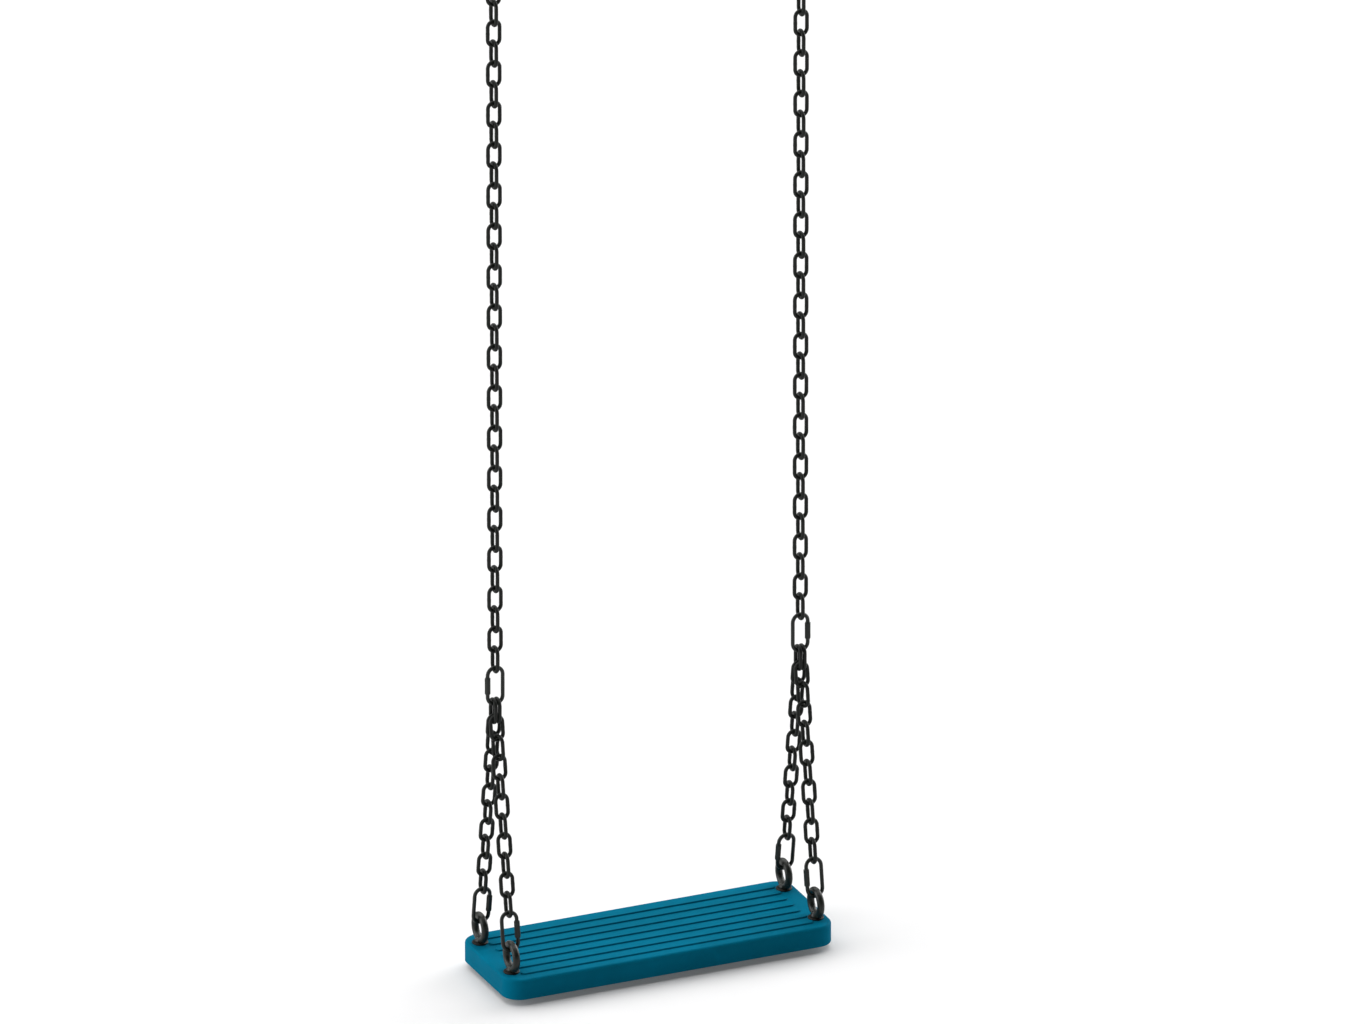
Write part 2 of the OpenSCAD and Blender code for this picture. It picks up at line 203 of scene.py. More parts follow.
def seat_section():
    """From the flat of the upper face over the edge and down to the underside: (reach, height)."""
    flat = [s * MM for s in (0, 0.9, 1.6, 2.6, 3.3)]
    outer_rib = (RIB_COUNT - 1) / 2 * RIB_PITCH + RIB_WIDTH / 2 - (SEAT_WIDTH / 2 - CORNER_R)
    flat += [outer_rib - s * MM for s in (5.2, 4.2, 3.2, 2.2, 1.5, 1.05, 0.7, 0.55, 0.4, 0.25, 0.1, -0.12)]
    flat += [s * MM for s in (12, 15, 18)]
    line = [(r, 0.0) for r in sorted(flat)]
    for k in range(9):
        a = math.radians(90 - k * 11.25)
        line.append((
            CORNER_R - UPPER_EDGE_R * (1 - math.cos(a)), UPPER_EDGE_R * (math.sin(a) - 1)
        ))
    for depth in (8, 13, 18, 23):
        line.append((CORNER_R, -depth * MM))
    for k in range(5):
        a = math.radians(k * 22.5)
        line.append((
            CORNER_R - LOWER_EDGE_R * (1 - math.cos(a)),
            -SEAT_THICKNESS + LOWER_EDGE_R * (1 - math.sin(a))
        ))
    line += [(15 * MM, -SEAT_THICKNESS), (0, -SEAT_THICKNESS)]
    return line


def seat_slab(name):
    """The slab without its ribs: a gridded top, the section carried round its rim, and a flat underside."""
    along, across = seat_stations()
    core_x, core_y = SEAT_LENGTH / 2 - CORNER_R, SEAT_WIDTH / 2 - CORNER_R
    along = [-core_x] + [x for x in along if abs(x) < core_x - 0.05 * MM] + [core_x]
    across = [-core_y] + [y for y in across if abs(y) < core_y - 0.05 * MM] + [core_y]
    section = seat_section()
    shape = bmesh.new()

    def sheet_of(rows):
        points = [[shape.verts.new(p) for p in row] for row in rows]
        for a, b in zip(points, points[1:]):
            for k in range(len(a) - 1):
                corners = [a[k], a[k + 1], b[k + 1], b[k]]
                if len({tuple(round(c, 7) for c in v.co) for v in corners}) == 4:
                    shape.faces.new(corners)
                else:
                    keep = []
                    for v in corners:
                        if all((v.co - w.co).length > 1e-7 for w in keep):
                            keep.append(v)
                    if len(keep) == 3:
                        shape.faces.new(keep)

    sheet_of([[(x, y, 0) for x in along] for y in across])
    for s in (-1, 1):
        sheet_of([[(x, s * (core_y + r), z) for x in along] for r, z in section])
        sheet_of([[(s * (core_x + r), y, z) for y in across] for r, z in section])
        for t in (-1, 1):
            fan = [math.radians(9 * k) for k in range(11)]
            sheet_of([
                [(s * (core_x + r * math.cos(a)), t * (core_y + r * math.sin(a)), z) for a in fan]
                for r, z in section
            ])
    base = [(x, -core_y) for x in along] + [(core_x, y) for y in across[1:]]
    base += [(x, core_y) for x in reversed(along[:-1])] + [(-core_x, y) for y in reversed(across[1:-1])]
    shape.faces.new([shape.verts.new((x, y, -SEAT_THICKNESS)) for x, y in base])
    bmesh.ops.remove_doubles(shape, verts=shape.verts, dist=1e-6)
    bmesh.ops.recalc_face_normals(shape, faces=shape.faces)
    bmesh.ops.translate(shape, verts=shape.verts, vec=(0, 0, seat_top))
    mesh = bpy.data.meshes.new(name)
    shape.to_mesh(mesh)
    shape.free()
    mesh.polygons.foreach_set("use_smooth", [True] * len(mesh.polygons))
    return new_piece(name, mesh)


def new_tree(name, sizes):
    """A geometry tree with a geometry in, a geometry out and named inputs for its sizes."""
    tree = bpy.data.node_groups.new(name, "GeometryNodeTree")
    tree.interface.new_socket("Geometry", in_out="INPUT", socket_type="NodeSocketGeometry")
    tree.interface.new_socket("Geometry", in_out="OUTPUT", socket_type="NodeSocketGeometry")
    for socket_name, kind in sizes.items():
        tree.interface.new_socket(socket_name, in_out="INPUT", socket_type=kind)
    return tree, put(tree, "NodeGroupInput").outputs, put(tree, "NodeGroupOutput")


def run_tree(piece, tree, values):
    """Adds the tree to a piece and sets its named inputs before anything evaluates them."""
    modifier = piece.modifiers.new(tree.name, "NODES")
    modifier.node_group = tree
    for item in tree.interface.items_tree:
        if item.item_type == "SOCKET" and item.in_out == "INPUT" and item.name in values:
            modifier[item.identifier] = values[item.name]
    return modifier


NUMBER, WHOLE, PLACE = "NodeSocketFloat", "NodeSocketInt", "NodeSocketVector"

rib_tree, size_in, out = new_tree("grip ribs", {
    "Count": WHOLE, "Pitch": NUMBER, "Width": NUMBER, "Half length": NUMBER, "Height": NUMBER,
    "Shoulder": NUMBER, "Level": NUMBER, "Material": "NodeSocketMaterial",
})
place = put(rib_tree, "GeometryNodeInputPosition").outputs[0]
xyz = put(rib_tree, "ShaderNodeSeparateXYZ", {0: place}).outputs
last = sums(rib_tree, "MULTIPLY", sums(rib_tree, "SUBTRACT", size_in["Count"], 1.0), 0.5)
nearest = sums(rib_tree, "ROUND", sums(rib_tree, "DIVIDE", xyz[1], size_in["Pitch"]))
nearest = sums(rib_tree, "MAXIMUM", nearest, sums(rib_tree, "MULTIPLY", last, -1.0))
nearest = sums(rib_tree, "MINIMUM", nearest, last)
off_y = sums(rib_tree, "SUBTRACT", xyz[1], sums(rib_tree, "MULTIPLY", nearest, size_in["Pitch"]))
half_width = sums(rib_tree, "MULTIPLY", size_in["Width"], 0.5)
straight = sums(rib_tree, "SUBTRACT", size_in["Half length"], half_width)
beyond = sums(rib_tree, "SUBTRACT", sums(rib_tree, "ABSOLUTE", xyz[0]), straight)
off_x = sums(rib_tree, "MAXIMUM", beyond, 0.0)
from_spine = sums(rib_tree, "SQRT", sums(
    rib_tree, "ADD", sums(rib_tree, "MULTIPLY", off_x, off_x), sums(rib_tree, "MULTIPLY", off_y, off_y)
))
crown = sums(rib_tree, "SUBTRACT", half_width, size_in["Shoulder"])
lift = ramp(rib_tree, from_spine, crown, half_width, size_in["Height"], 0.0, "SMOOTHERSTEP")
on_top = sums(rib_tree, "GREATER_THAN", xyz[2], sums(rib_tree, "SUBTRACT", size_in["Level"], 0.1 * MM))
raised = put(rib_tree, "ShaderNodeCombineXYZ", {2: sums(rib_tree, "MULTIPLY", lift, on_top)}).outputs[0]
moved = put(rib_tree, "GeometryNodeSetPosition", {"Geometry": size_in["Geometry"], "Offset": raised})
kept = put(rib_tree, "GeometryNodeRealizeInstances", {0: moved.outputs[0]})
dressed = put(rib_tree, "GeometryNodeSetMaterial", {
    "Geometry": kept.outputs[0], "Material": size_in["Material"],
})
rib_tree.links.new(dressed.outputs[0], out.inputs[0])

rubber, tree, shader, where = new_finish("teal moulded rubber")
broad = grain(tree, where, 90, 2, 0.5)
patchy = grain(tree, where, 22, 4, 0.6)
speckle = grain(tree, where, 1.6, 3, 0.7)
pores = grain(tree, where, 0.5, 2, 0.6)
tone = tint(tree, ramp(tree, broad, 0.35, 0.65), (0.0, 0.106, 0.176), (0.0, 0.121, 0.203))
tone = tint(tree, ramp(tree, patchy, 0.52, 0.75, 0.0, 0.45), tone, (0.0, 0.134, 0.226))
tone = tint(tree, ramp(tree, speckle, 0.62, 0.8, 0.0, 0.35), tone, (0.0, 0.140, 0.226))
normal = put(tree, "ShaderNodeNewGeometry").outputs["Normal"]
facing_up = put(tree, "ShaderNodeSeparateXYZ", {0: normal}).outputs[2]
stretch = put(tree, "ShaderNodeMapping", {
    "Vector": where, "Scale": (0.12, 1.0, 1.0), "Rotation": (0, 0, 0.2),
})
rub = ramp(tree, grain(tree, stretch.outputs[0], 3.5, 5, 0.75), 0.60, 0.74)
rub = sums(tree, "MULTIPLY", rub, ramp(tree, facing_up, 0.7, 0.98))
rub = sums(tree, "MULTIPLY", rub, ramp(tree, broad, 0.4, 0.62))
tone = tint(tree, sums(tree, "MULTIPLY", rub, 0.22), tone, (0.006, 0.160, 0.250))
matt = sums(tree, "ADD", ramp(tree, patchy, 0.3, 0.7, 0.50, 0.62), sums(tree, "MULTIPLY", rub, -0.10))
relief = sums(tree, "ADD", sums(tree, "MULTIPLY", pores, 0.6), sums(tree, "MULTIPLY", speckle, 0.4))
wire_up(tree, shader, tone, matt, relief, 0.03, 0.4)
shader.inputs["Specular IOR Level"].default_value = 0.01

seat = seat_slab("seat_rubber_body")
seat.data.materials.append(rubber)
run_tree(seat, rib_tree, {
    "Count": RIB_COUNT, "Pitch": RIB_PITCH, "Width": RIB_WIDTH, "Half length": RIB_HALF_LENGTH,
    "Height": RIB_HEIGHT, "Shoulder": RIB_SHOULDER, "Level": seat_top, "Material": rubber,
})
plain_mesh(seat)


def turned(shape, outline, segments=48, at=Matrix.Identity(4)):
    """Adds a turned solid on Z to a bmesh. The outline is (radius, height), closed on itself or on
    the axis; either may be a function of the angle."""
    def value(given, a):
        return given(a) if callable(given) else given

    rings = []
    for r, z in outline:
        turns = [0] if r == 0 else [2 * math.pi * k / segments for k in range(segments)]
        rings.append([
            shape.verts.new(at @ Vector((value(r, a) * math.cos(a), value(r, a) * math.sin(a), value(z, a))))
            for a in turns
        ])
    on_axis = outline[0][0] == 0 and outline[-1][0] == 0
    pairs = list(zip(rings, rings[1:])) + ([] if on_axis else [(rings[-1], rings[0])])
    made = []
    for a, b in pairs:
        for k in range(segments):
            n = (k + 1) % segments
            corners = [a[k % len(a)], a[n % len(a)], b[n % len(b)], b[k % len(b)]]
            corners = list(dict.fromkeys(corners))
            if len(corners) > 2:
                made.append(shape.faces.new(corners))
    bmesh.ops.recalc_face_normals(shape, faces=made)
    return made


def to_piece(shape, name, finish, smooth_under=40):
    """Turns a bmesh into a piece whose edges stay sharp above an angle."""
    for face in shape.faces:
        face.smooth = True
    for edge in shape.edges:
        edge.smooth = not edge.is_manifold or edge.calc_face_angle(0) < math.radians(smooth_under)
    mesh = bpy.data.meshes.new(name)
    shape.to_mesh(mesh)
    shape.free()
    mesh.materials.append(finish)
    return new_piece(name, mesh)


def cut(piece, cutter):
    """Takes the cutter out of the piece and throws the cutter away."""
    modifier = piece.modifiers.new("cut", "BOOLEAN")
    modifier.operation = "DIFFERENCE"
    modifier.solver = "EXACT"
    modifier.object = cutter
    plain_mesh(piece)
    gone = cutter.data
    bpy.data.objects.remove(cutter)
    bpy.data.meshes.remove(gone)


shape = bmesh.new()
for i in (-1, 1):
    for j in (-1, 1):
        turned(shape, [
            (0, 1 * MM), (EYE_HOLE_R, 1 * MM), (EYE_HOLE_R, POCKET_DEPTH - SEAT_THICKNESS),
            (POCKET_R, POCKET_DEPTH - SEAT_THICKNESS), (POCKET_R, -SEAT_THICKNESS - 1 * MM),
            (0, -SEAT_THICKNESS - 1 * MM),
        ], 40, Matrix.Translation((i * EYE_X, j * EYE_Y, seat_top)))
cut(seat, to_piece(shape, "pocket_cutter", rubber))
seat.data.set_sharp_from_angle(angle=math.radians(35))

# The flat underside is shaded flat, so its long faces show no streaks.
for face in seat.data.polygons:
    if face.normal.z < -0.999:
        face.use_smooth = False
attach(seat, "seat")
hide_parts("seat_moulding")


# ---- Stiffener, washers and lock nuts --------------------------------------
# The rubber is moulded round a zinc-plated steel plate. In each pocket under
# the seat a washer and a lock nut pull the eye bolt down onto the plate.

WASHER_R = 11 * MM
WASHER_THICKNESS = 2 * MM
LOCK_NUT_FLATS = 17 * MM
LOCK_NUT_HEIGHT = 8 * MM
SHANK_R = 5 * MM

zinc, tree, shader, where = new_finish("zinc-plated steel")
cloud = grain(tree, where, 14, 4, 0.6)
mottle = grain(tree, where, 1.3, 4, 0.7)
tone = tint(tree, ramp(tree, cloud, 0.35, 0.7), (0.34, 0.345, 0.36), (0.44, 0.445, 0.45))
dull = ramp(tree, mottle, 0.58, 0.78)
tone = tint(tree, sums(tree, "MULTIPLY", dull, 0.5), tone, (0.25, 0.245, 0.22))
satin = sums(tree, "ADD", ramp(tree, cloud, 0.3, 0.7, 0.32, 0.46), sums(tree, "MULTIPLY", dull, 0.18))
wire_up(tree, shader, tone, satin, mottle, 0.02, 0.5)
shader.inputs["Metallic"].default_value = 0.95

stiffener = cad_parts["seat_stiffener"]
stiffener.data.materials.clear()
stiffener.data.materials.append(zinc)


def hexed(across_flats):
    """The reach of a hexagon with a corner on X, as a function of the angle."""
    return lambda a: across_flats / 2 / math.cos(a % (math.pi / 3) - math.pi / 6)


def hex_outline(across_flats, height, bore_r, slope=25, crown=0.96, low=0.0):
    """A nut, head or sleeve on Z: chamfered corners and, where bore_r isn't 0, a chamfered bore."""
    reach = hexed(across_flats)
    face_r = across_flats / 2 * crown
    fall = math.tan(math.radians(slope))
    outline = [
        (face_r, low), (reach, lambda a: low + (reach(a) - face_r) * fall),
        (reach, lambda a: low + height - (reach(a) - face_r) * fall), (face_r, low + height)
    ]
    if bore_r:
        lead = 0.08 * bore_r
        return [(bore_r + lead, low)] + outline + [
            (bore_r + lead, low + height), (bore_r, low + height - lead), (bore_r, low + lead)
        ]
    return [(0, low)] + outline + [(0, low + height)]


def ring_outline(outer_r, thickness, bore_r, edge, low=0.0):
    """A washer or collar on Z with broken edges."""
    return [
        (bore_r, low + edge / 2), (bore_r + edge / 2, low), (outer_r - edge, low),
        (outer_r, low + edge), (outer_r, low + thickness - edge), (outer_r - edge, low + thickness),
        (bore_r + edge / 2, low + thickness), (bore_r, low + thickness - edge / 2)
    ]


SIDES = {"left": -1, "right": 1}
ENDS = {"front": -1, "back": 1}
EYE_SPOTS = {
    (end, side): Vector((i * EYE_X, j * EYE_Y, seat_top))
    for side, i in SIDES.items() for end, j in ENDS.items()
}
washers, nuts = bmesh.new(), bmesh.new()
for k, spot in enumerate(EYE_SPOTS.values()):
    at = Matrix.Translation(spot) @ Matrix.Rotation(0.3 + 0.55 * k, 4, "Z")
    pocket_top = POCKET_DEPTH - SEAT_THICKNESS
    turned(washers, ring_outline(
        WASHER_R, WASHER_THICKNESS, EYE_HOLE_R, 0.25 * MM, pocket_top - WASHER_THICKNESS
    ), 48, at)
    turned(nuts, hex_outline(
        LOCK_NUT_FLATS, LOCK_NUT_HEIGHT, SHANK_R, 28, 0.95, pocket_top - WASHER_THICKNESS - LOCK_NUT_HEIGHT
    ), 36, at)
for shape, name, node in (
    (washers, "pocket_washers", "seat_washers"), (nuts, "pocket_nuts", "seat_lock_nuts"),
):
    piece = to_piece(shape, name, zinc, 25)
    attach(piece, "seat")
    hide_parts(node)


# ---- Collars ---------------------------------------------------------------
# A brown-black steel collar sits on the rubber under each ring and spreads
# the pull of the eye bolt.

COLLAR_R = 10.25 * MM
COLLAR_HEIGHT = 2 * MM

collar_finish, tree, shader, where = new_finish("browned collar steel")
cloud = grain(tree, where, 6, 4, 0.65)
pits = grain(tree, where, 0.9, 3, 0.7)
tone = tint(tree, ramp(tree, cloud, 0.35, 0.68), (0.0080, 0.0066, 0.0054), (0.0165, 0.0130, 0.0104))
tone = tint(tree, ramp(tree, pits, 0.60, 0.75, 0.0, 0.5), tone, (0.030, 0.021, 0.015))
wire_up(tree, shader, tone, ramp(tree, cloud, 0.3, 0.7, 0.42, 0.60), pits, 0.05, 0.6)
shader.inputs["Specular IOR Level"].default_value = 0.18

shape = bmesh.new()
for spot in EYE_SPOTS.values():
    turned(shape, ring_outline(COLLAR_R, COLLAR_HEIGHT, EYE_HOLE_R, 0.45 * MM), 56, Matrix.Translation(spot))
piece = to_piece(shape, "ring_collars", collar_finish, 25)
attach(piece, "seat")
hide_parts("eye_collars")


# ---- Eye bolts -------------------------------------------------------------
# Each corner has a drop-forged eye bolt of dark oiled steel: a thick ring, a
# round foot on the collar and a threaded shank down through the seat.

RING_R = 15.75 * MM
RING_SECTION_R = 4.75 * MM
RING_HEIGHT = 21 * MM
FOOT_R = 7 * MM
SHANK_END = SEAT_THICKNESS - 0.5 * MM
SHANK_IN_FOOT = 3.2 * MM
PLAIN_SHANK = 12 * MM
SHANK_PITCH = 1.5 * MM
THREAD_PLAY = 0.02 * MM

forged_finish, tree, shader, where = new_finish("dark forged steel")
cloud = grain(tree, where, 11, 3, 0.55)
scale = grain(tree, where, 2.6, 5, 0.68)
fine = grain(tree, where, 0.5, 2, 0.5)
tone = tint(tree, ramp(tree, cloud, 0.35, 0.68), (0.0030, 0.0050, 0.0036), (0.0080, 0.0110, 0.0078))
tone = tint(tree, ramp(tree, scale, 0.55, 0.72, 0.0, 0.7), tone, (0.048, 0.052, 0.033))
tone = tint(tree, ramp(tree, scale, 0.30, 0.42, 0.5, 0.0), tone, (0.007, 0.008, 0.008))
gloss = sums(tree, "ADD", ramp(tree, cloud, 0.3, 0.7, 0.36, 0.46), ramp(tree, scale, 0.5, 0.75, 0.0, 0.16))
relief = sums(tree, "ADD", sums(tree, "MULTIPLY", scale, 0.8), sums(tree, "MULTIPLY", fine, 0.2))
wire_up(tree, shader, tone, gloss, relief, 0.22, 0.55)
shader.inputs["Specular IOR Level"].default_value = 0.32


def swept(shape, path, radii, side, segments, closed):
    """Adds a round wire along a flat path to a bmesh. Side is the direction square to the path's plane."""
    count = len(path)
    rings = []
    for k, (point, r) in enumerate(zip(path, radii)):
        before = path[k - 1] if closed or k else path[k]
        after = path[(k + 1) % count] if closed or k < count - 1 else path[k]
        across = (after - before).normalized().cross(side)
        turns = [2 * math.pi * n / segments for n in range(segments)]
        rings.append([
            shape.verts.new(point + r * (math.cos(a) * side + math.sin(a) * across)) for a in turns
        ])
    made = []
    for a, b in list(zip(rings, rings[1:])) + ([(rings[-1], rings[0])] if closed else []):
        for n in range(segments):
            m = (n + 1) % segments
            made.append(shape.faces.new([a[n], a[m], b[m], b[n]]))
    if not closed:
        made += [shape.faces.new(rings[0]), shape.faces.new(rings[-1])]
    bmesh.ops.recalc_face_normals(shape, faces=made)


def arc(centre, r, start, end, steps):
    """Points in the XZ plane from one angle to another, in degrees."""
    angles = [math.radians(start + (end - start) * k / steps) for k in range(steps + 1)]
    return [centre + Vector((r * math.cos(a), 0, r * math.sin(a))) for a in angles]


def ring_in_yz(shape, centre, segments=96):
    """Adds the thick forged ring, standing in the YZ plane."""
    turns = [2 * math.pi * k / segments for k in range(segments)]
    path = [centre + Vector((0, RING_R * math.cos(a), RING_R * math.sin(a))) for a in turns]
    swept(shape, path, [RING_SECTION_R] * segments, Vector((1, 0, 0)), 32, True)


def forged(shape, name, voxel):
    """Welds overlapping solids into one skin and softens the joins, as a forging die leaves them."""
    piece = to_piece(shape, name, forged_finish)
    remesh = piece.modifiers.new("skin", "REMESH")
    remesh.mode = "VOXEL"
    remesh.voxel_size = voxel
    remesh.use_smooth_shade = True
    soften = piece.modifiers.new("soften", "SMOOTH")
    soften.factor = 0.5
    soften.iterations = 9
    plain_mesh(piece)
    piece.data.materials.clear()
    piece.data.materials.append(forged_finish)
    return piece


def threaded(shape, r, low, high, thread_low, thread_high, pitch, at=Matrix.Identity(4), segments=28):
    """Adds a round bar on Z with a true spiral thread between two heights and a chamfer at each end."""
    depth = 0.55 * pitch
    step = pitch / 6
    chamfer = 0.6 * depth
    count = int((thread_high - thread_low) / step)
    levels = [thread_low + k * step for k in range(count + 1)]
    heights = [low, low + chamfer] + [z for z in levels if low + chamfer < z < high - chamfer]
    heights += [high - chamfer, high]
    rings = []
    for k, z in enumerate(heights):
        ring = []
        for n in range(segments):
            a = 2 * math.pi * n / segments
            phase = (z / pitch - a / (2 * math.pi)) % 1
            inside = min(1, max(0, (z - thread_low) / pitch), max(0, (thread_high - z) / pitch))
            reach = r - depth * inside * abs(2 * phase - 1)
            if k in (0, len(heights) - 1):
                reach = r - depth
            ring.append(shape.verts.new(at @ Vector((reach * math.cos(a), reach * math.sin(a), z))))
        rings.append(ring)
    made = [shape.faces.new(rings[0]), shape.faces.new(rings[-1])]
    for a, b in zip(rings, rings[1:]):
        for n in range(segments):
            m = (n + 1) % segments
            made.append(shape.faces.new([a[n], a[m], b[m], b[n]]))
    bmesh.ops.recalc_face_normals(shape, faces=made)


shape = bmesh.new()
ring_in_yz(shape, Vector((0, 0, RING_HEIGHT)))
turned(shape, [
    (0, -1 * MM), (FOOT_R - 0.1 * MM, -1 * MM), (FOOT_R - 0.1 * MM, 4.3 * MM),
    (FOOT_R - 1.2 * MM, 5.4 * MM), (5.2 * MM, 6.6 * MM), (4.4 * MM, 9 * MM), (0, 9 * MM)
], 40)
eye = forged(shape, "eye_pattern", 0.42 * MM)
shape = bmesh.new()
turned(shape, [(0, -6 * MM), (30 * MM, -6 * MM), (30 * MM, COLLAR_HEIGHT), (0, COLLAR_HEIGHT)], 24)
cut(eye, to_piece(shape, "foot_cutter", forged_finish))
shape = bmesh.new()
shape.from_mesh(eye.data)
threaded(
    shape, SHANK_R - THREAD_PLAY, -SHANK_END, SHANK_IN_FOOT, -SHANK_END - SHANK_PITCH, -PLAIN_SHANK, SHANK_PITCH
)
eye_mesh = to_piece(shape, "eye_pattern_2", forged_finish, 38).data

for (end, side), spot in EYE_SPOTS.items():
    mesh = eye_mesh.copy()
    mesh.transform(Matrix.Translation(spot))
    piece = new_piece(f"forged_eye_{end}_{side}", mesh)
    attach(piece, "seat")
    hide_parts(f"eye_bolt_{end}_{side}")
bpy.data.objects.remove(bpy.data.objects["eye_pattern_2"])
bpy.data.objects.remove(eye)


# ---- Chains ----------------------------------------------------------------
# Welded short-link chain of 5 mm blackened steel wire: one long chain at each
# end of the seat, and two lighter-pitched legs below it down to the corners.

WIRE_R = 2.5 * MM
LINK_WIDTH = 21 * MM
MAIN_INNER = 27.45 * MM
MAIN_COUNT = 35
LEG_INNER = 25.7 * MM
LEG_COUNT = 10
LINK_REST_GAP = 0.15 * MM
THIRD_LINK_TWIST = math.radians(25)
TWIN_X = 2.75 * MM
QUICK_LENGTH = 54.5 * MM

link_tree, size_in, out = new_tree("welded links", {
    "Count": WHOLE, "Wire radius": NUMBER, "Outer width": NUMBER, "Inner length": NUMBER, "Pitch": NUMBER,
    "First turn": NUMBER, "Twisted link": WHOLE, "Twist": NUMBER, "Play": NUMBER, "Weld": NUMBER,
    "Start": PLACE, "Lean": NUMBER, "Seed": WHOLE, "Material": "NodeSocketMaterial",
})
wire = sums(link_tree, "MULTIPLY", size_in["Wire radius"], 2.0)
width = sums(link_tree, "SUBTRACT", size_in["Outer width"], wire)
length = sums(link_tree, "ADD", size_in["Inner length"], wire)
frame_curve = put(link_tree, "GeometryNodeCurvePrimitiveQuadrilateral", {0: width, 1: length})
bent = put(link_tree, "GeometryNodeFilletCurve", {
    "Curve": frame_curve.outputs[0], "Count": 9, "Radius": sums(link_tree, "MULTIPLY", width, 0.4999),
    "Limit Radius": True,
}, mode="POLY")
spaced = put(link_tree, "GeometryNodeResampleCurve", {"Curve": bent.outputs[0], "Count": 60})
place = put(link_tree, "GeometryNodeInputPosition").outputs[0]
xyz = put(link_tree, "ShaderNodeSeparateXYZ", {0: place}).outputs
on_weld = sums(link_tree, "GREATER_THAN", xyz[0], 0.0)
beside = ramp(link_tree, sums(link_tree, "ABSOLUTE", xyz[1]), 0.8 * MM, 2.6 * MM, 1.0, 0.0)
bulge = sums(link_tree, "MULTIPLY", sums(link_tree, "MULTIPLY", on_weld, beside), size_in["Weld"])
thick = put(link_tree, "GeometryNodeSetCurveRadius", {
    "Curve": spaced.outputs[0], "Radius": sums(link_tree, "ADD", bulge, 1.0),
})
round_wire = put(link_tree, "GeometryNodeCurvePrimitiveCircle", {
    "Resolution": 12, "Radius": size_in["Wire radius"],
})
radius_again = put(link_tree, "GeometryNodeInputRadius").outputs[0]
tube = put(link_tree, "GeometryNodeCurveToMesh", {
    "Curve": thick.outputs[0], "Profile Curve": round_wire.outputs[0], "Scale": radius_again,
})
half_length = sums(link_tree, "MULTIPLY", length, 0.5)
inwards = sums(link_tree, "SUBTRACT", half_length, sums(link_tree, "ABSOLUTE", xyz[1]))
crown_y = sums(link_tree, "MULTIPLY", size_in["Wire radius"], 0.2)
past_crown = ramp(link_tree, inwards, crown_y, size_in["Wire radius"], 0.0, 1.0)
before_side = ramp(link_tree, inwards, size_in["Wire radius"], wire, 1.0, 0.0)
at_crown = sums(link_tree, "MULTIPLY", past_crown, before_side)
near_axis = ramp(link_tree, sums(link_tree, "ABSOLUTE", xyz[0]), size_in["Wire radius"], wire, 1.0, 0.0)
rubbed = sums(link_tree, "MULTIPLY", at_crown, near_axis)
worn = put(link_tree, "GeometryNodeStoreNamedAttribute", {
    "Geometry": tube.outputs[0], "Name": "wear", "Value": rubbed,
}, data_type="FLOAT", domain="POINT")
upright = put(link_tree, "GeometryNodeTransform", {
    "Geometry": worn.outputs[0], "Rotation": (math.pi / 2, 0, 0),
})
step = put(link_tree, "ShaderNodeCombineXYZ", {2: size_in["Pitch"]}).outputs[0]
row = put(link_tree, "GeometryNodeMeshLine", {"Count": size_in["Count"], "Offset": step}, mode="OFFSET")
number = put(link_tree, "GeometryNodeInputIndex").outputs[0]
turn = sums(link_tree, "MULTIPLY", sums(link_tree, "MODULO", number, 2.0), math.pi / 2)
turn = sums(link_tree, "ADD", turn, size_in["First turn"])
is_twisted = sums(link_tree, "COMPARE", number, size_in["Twisted link"], 0.1)
turn = sums(link_tree, "ADD", turn, sums(link_tree, "MULTIPLY", is_twisted, size_in["Twist"]))
chance = put(link_tree, "FunctionNodeRandomValue", {
    2: sums(link_tree, "MULTIPLY", size_in["Play"], -1.0), 3: size_in["Play"],
    "ID": number, "Seed": size_in["Seed"],
}, data_type="FLOAT").outputs[1]
turn = sums(link_tree, "ADD", turn, chance)
spin = put(link_tree, "ShaderNodeCombineXYZ", {2: turn}).outputs[0]
links = put(link_tree, "GeometryNodeInstanceOnPoints", {
    "Points": row.outputs[0], "Instance": upright.outputs[0], "Rotation": spin,
})
shade = put(link_tree, "FunctionNodeRandomValue", {
    2: 0.0, 3: 1.0, "ID": number, "Seed": sums(link_tree, "ADD", size_in["Seed"], 7.0),
}, data_type="FLOAT").outputs[1]
toned = put(link_tree, "GeometryNodeStoreNamedAttribute", {
    "Geometry": links.outputs[0], "Name": "tone", "Value": shade,
}, data_type="FLOAT", domain="INSTANCE")
leaned = put(link_tree, "ShaderNodeCombineXYZ", {0: size_in["Lean"]}).outputs[0]
hung = put(link_tree, "GeometryNodeTransform", {
    "Geometry": toned.outputs[0], "Translation": size_in["Start"], "Rotation": leaned,
})
kept = put(link_tree, "GeometryNodeRealizeInstances", {0: hung.outputs[0]})
smoothed = put(link_tree, "GeometryNodeSetShadeSmooth", {"Geometry": kept.outputs[0]})
dressed = put(link_tree, "GeometryNodeSetMaterial", {
    "Geometry": smoothed.outputs[0], "Material": size_in["Material"],
})
link_tree.links.new(dressed.outputs[0], out.inputs[0])

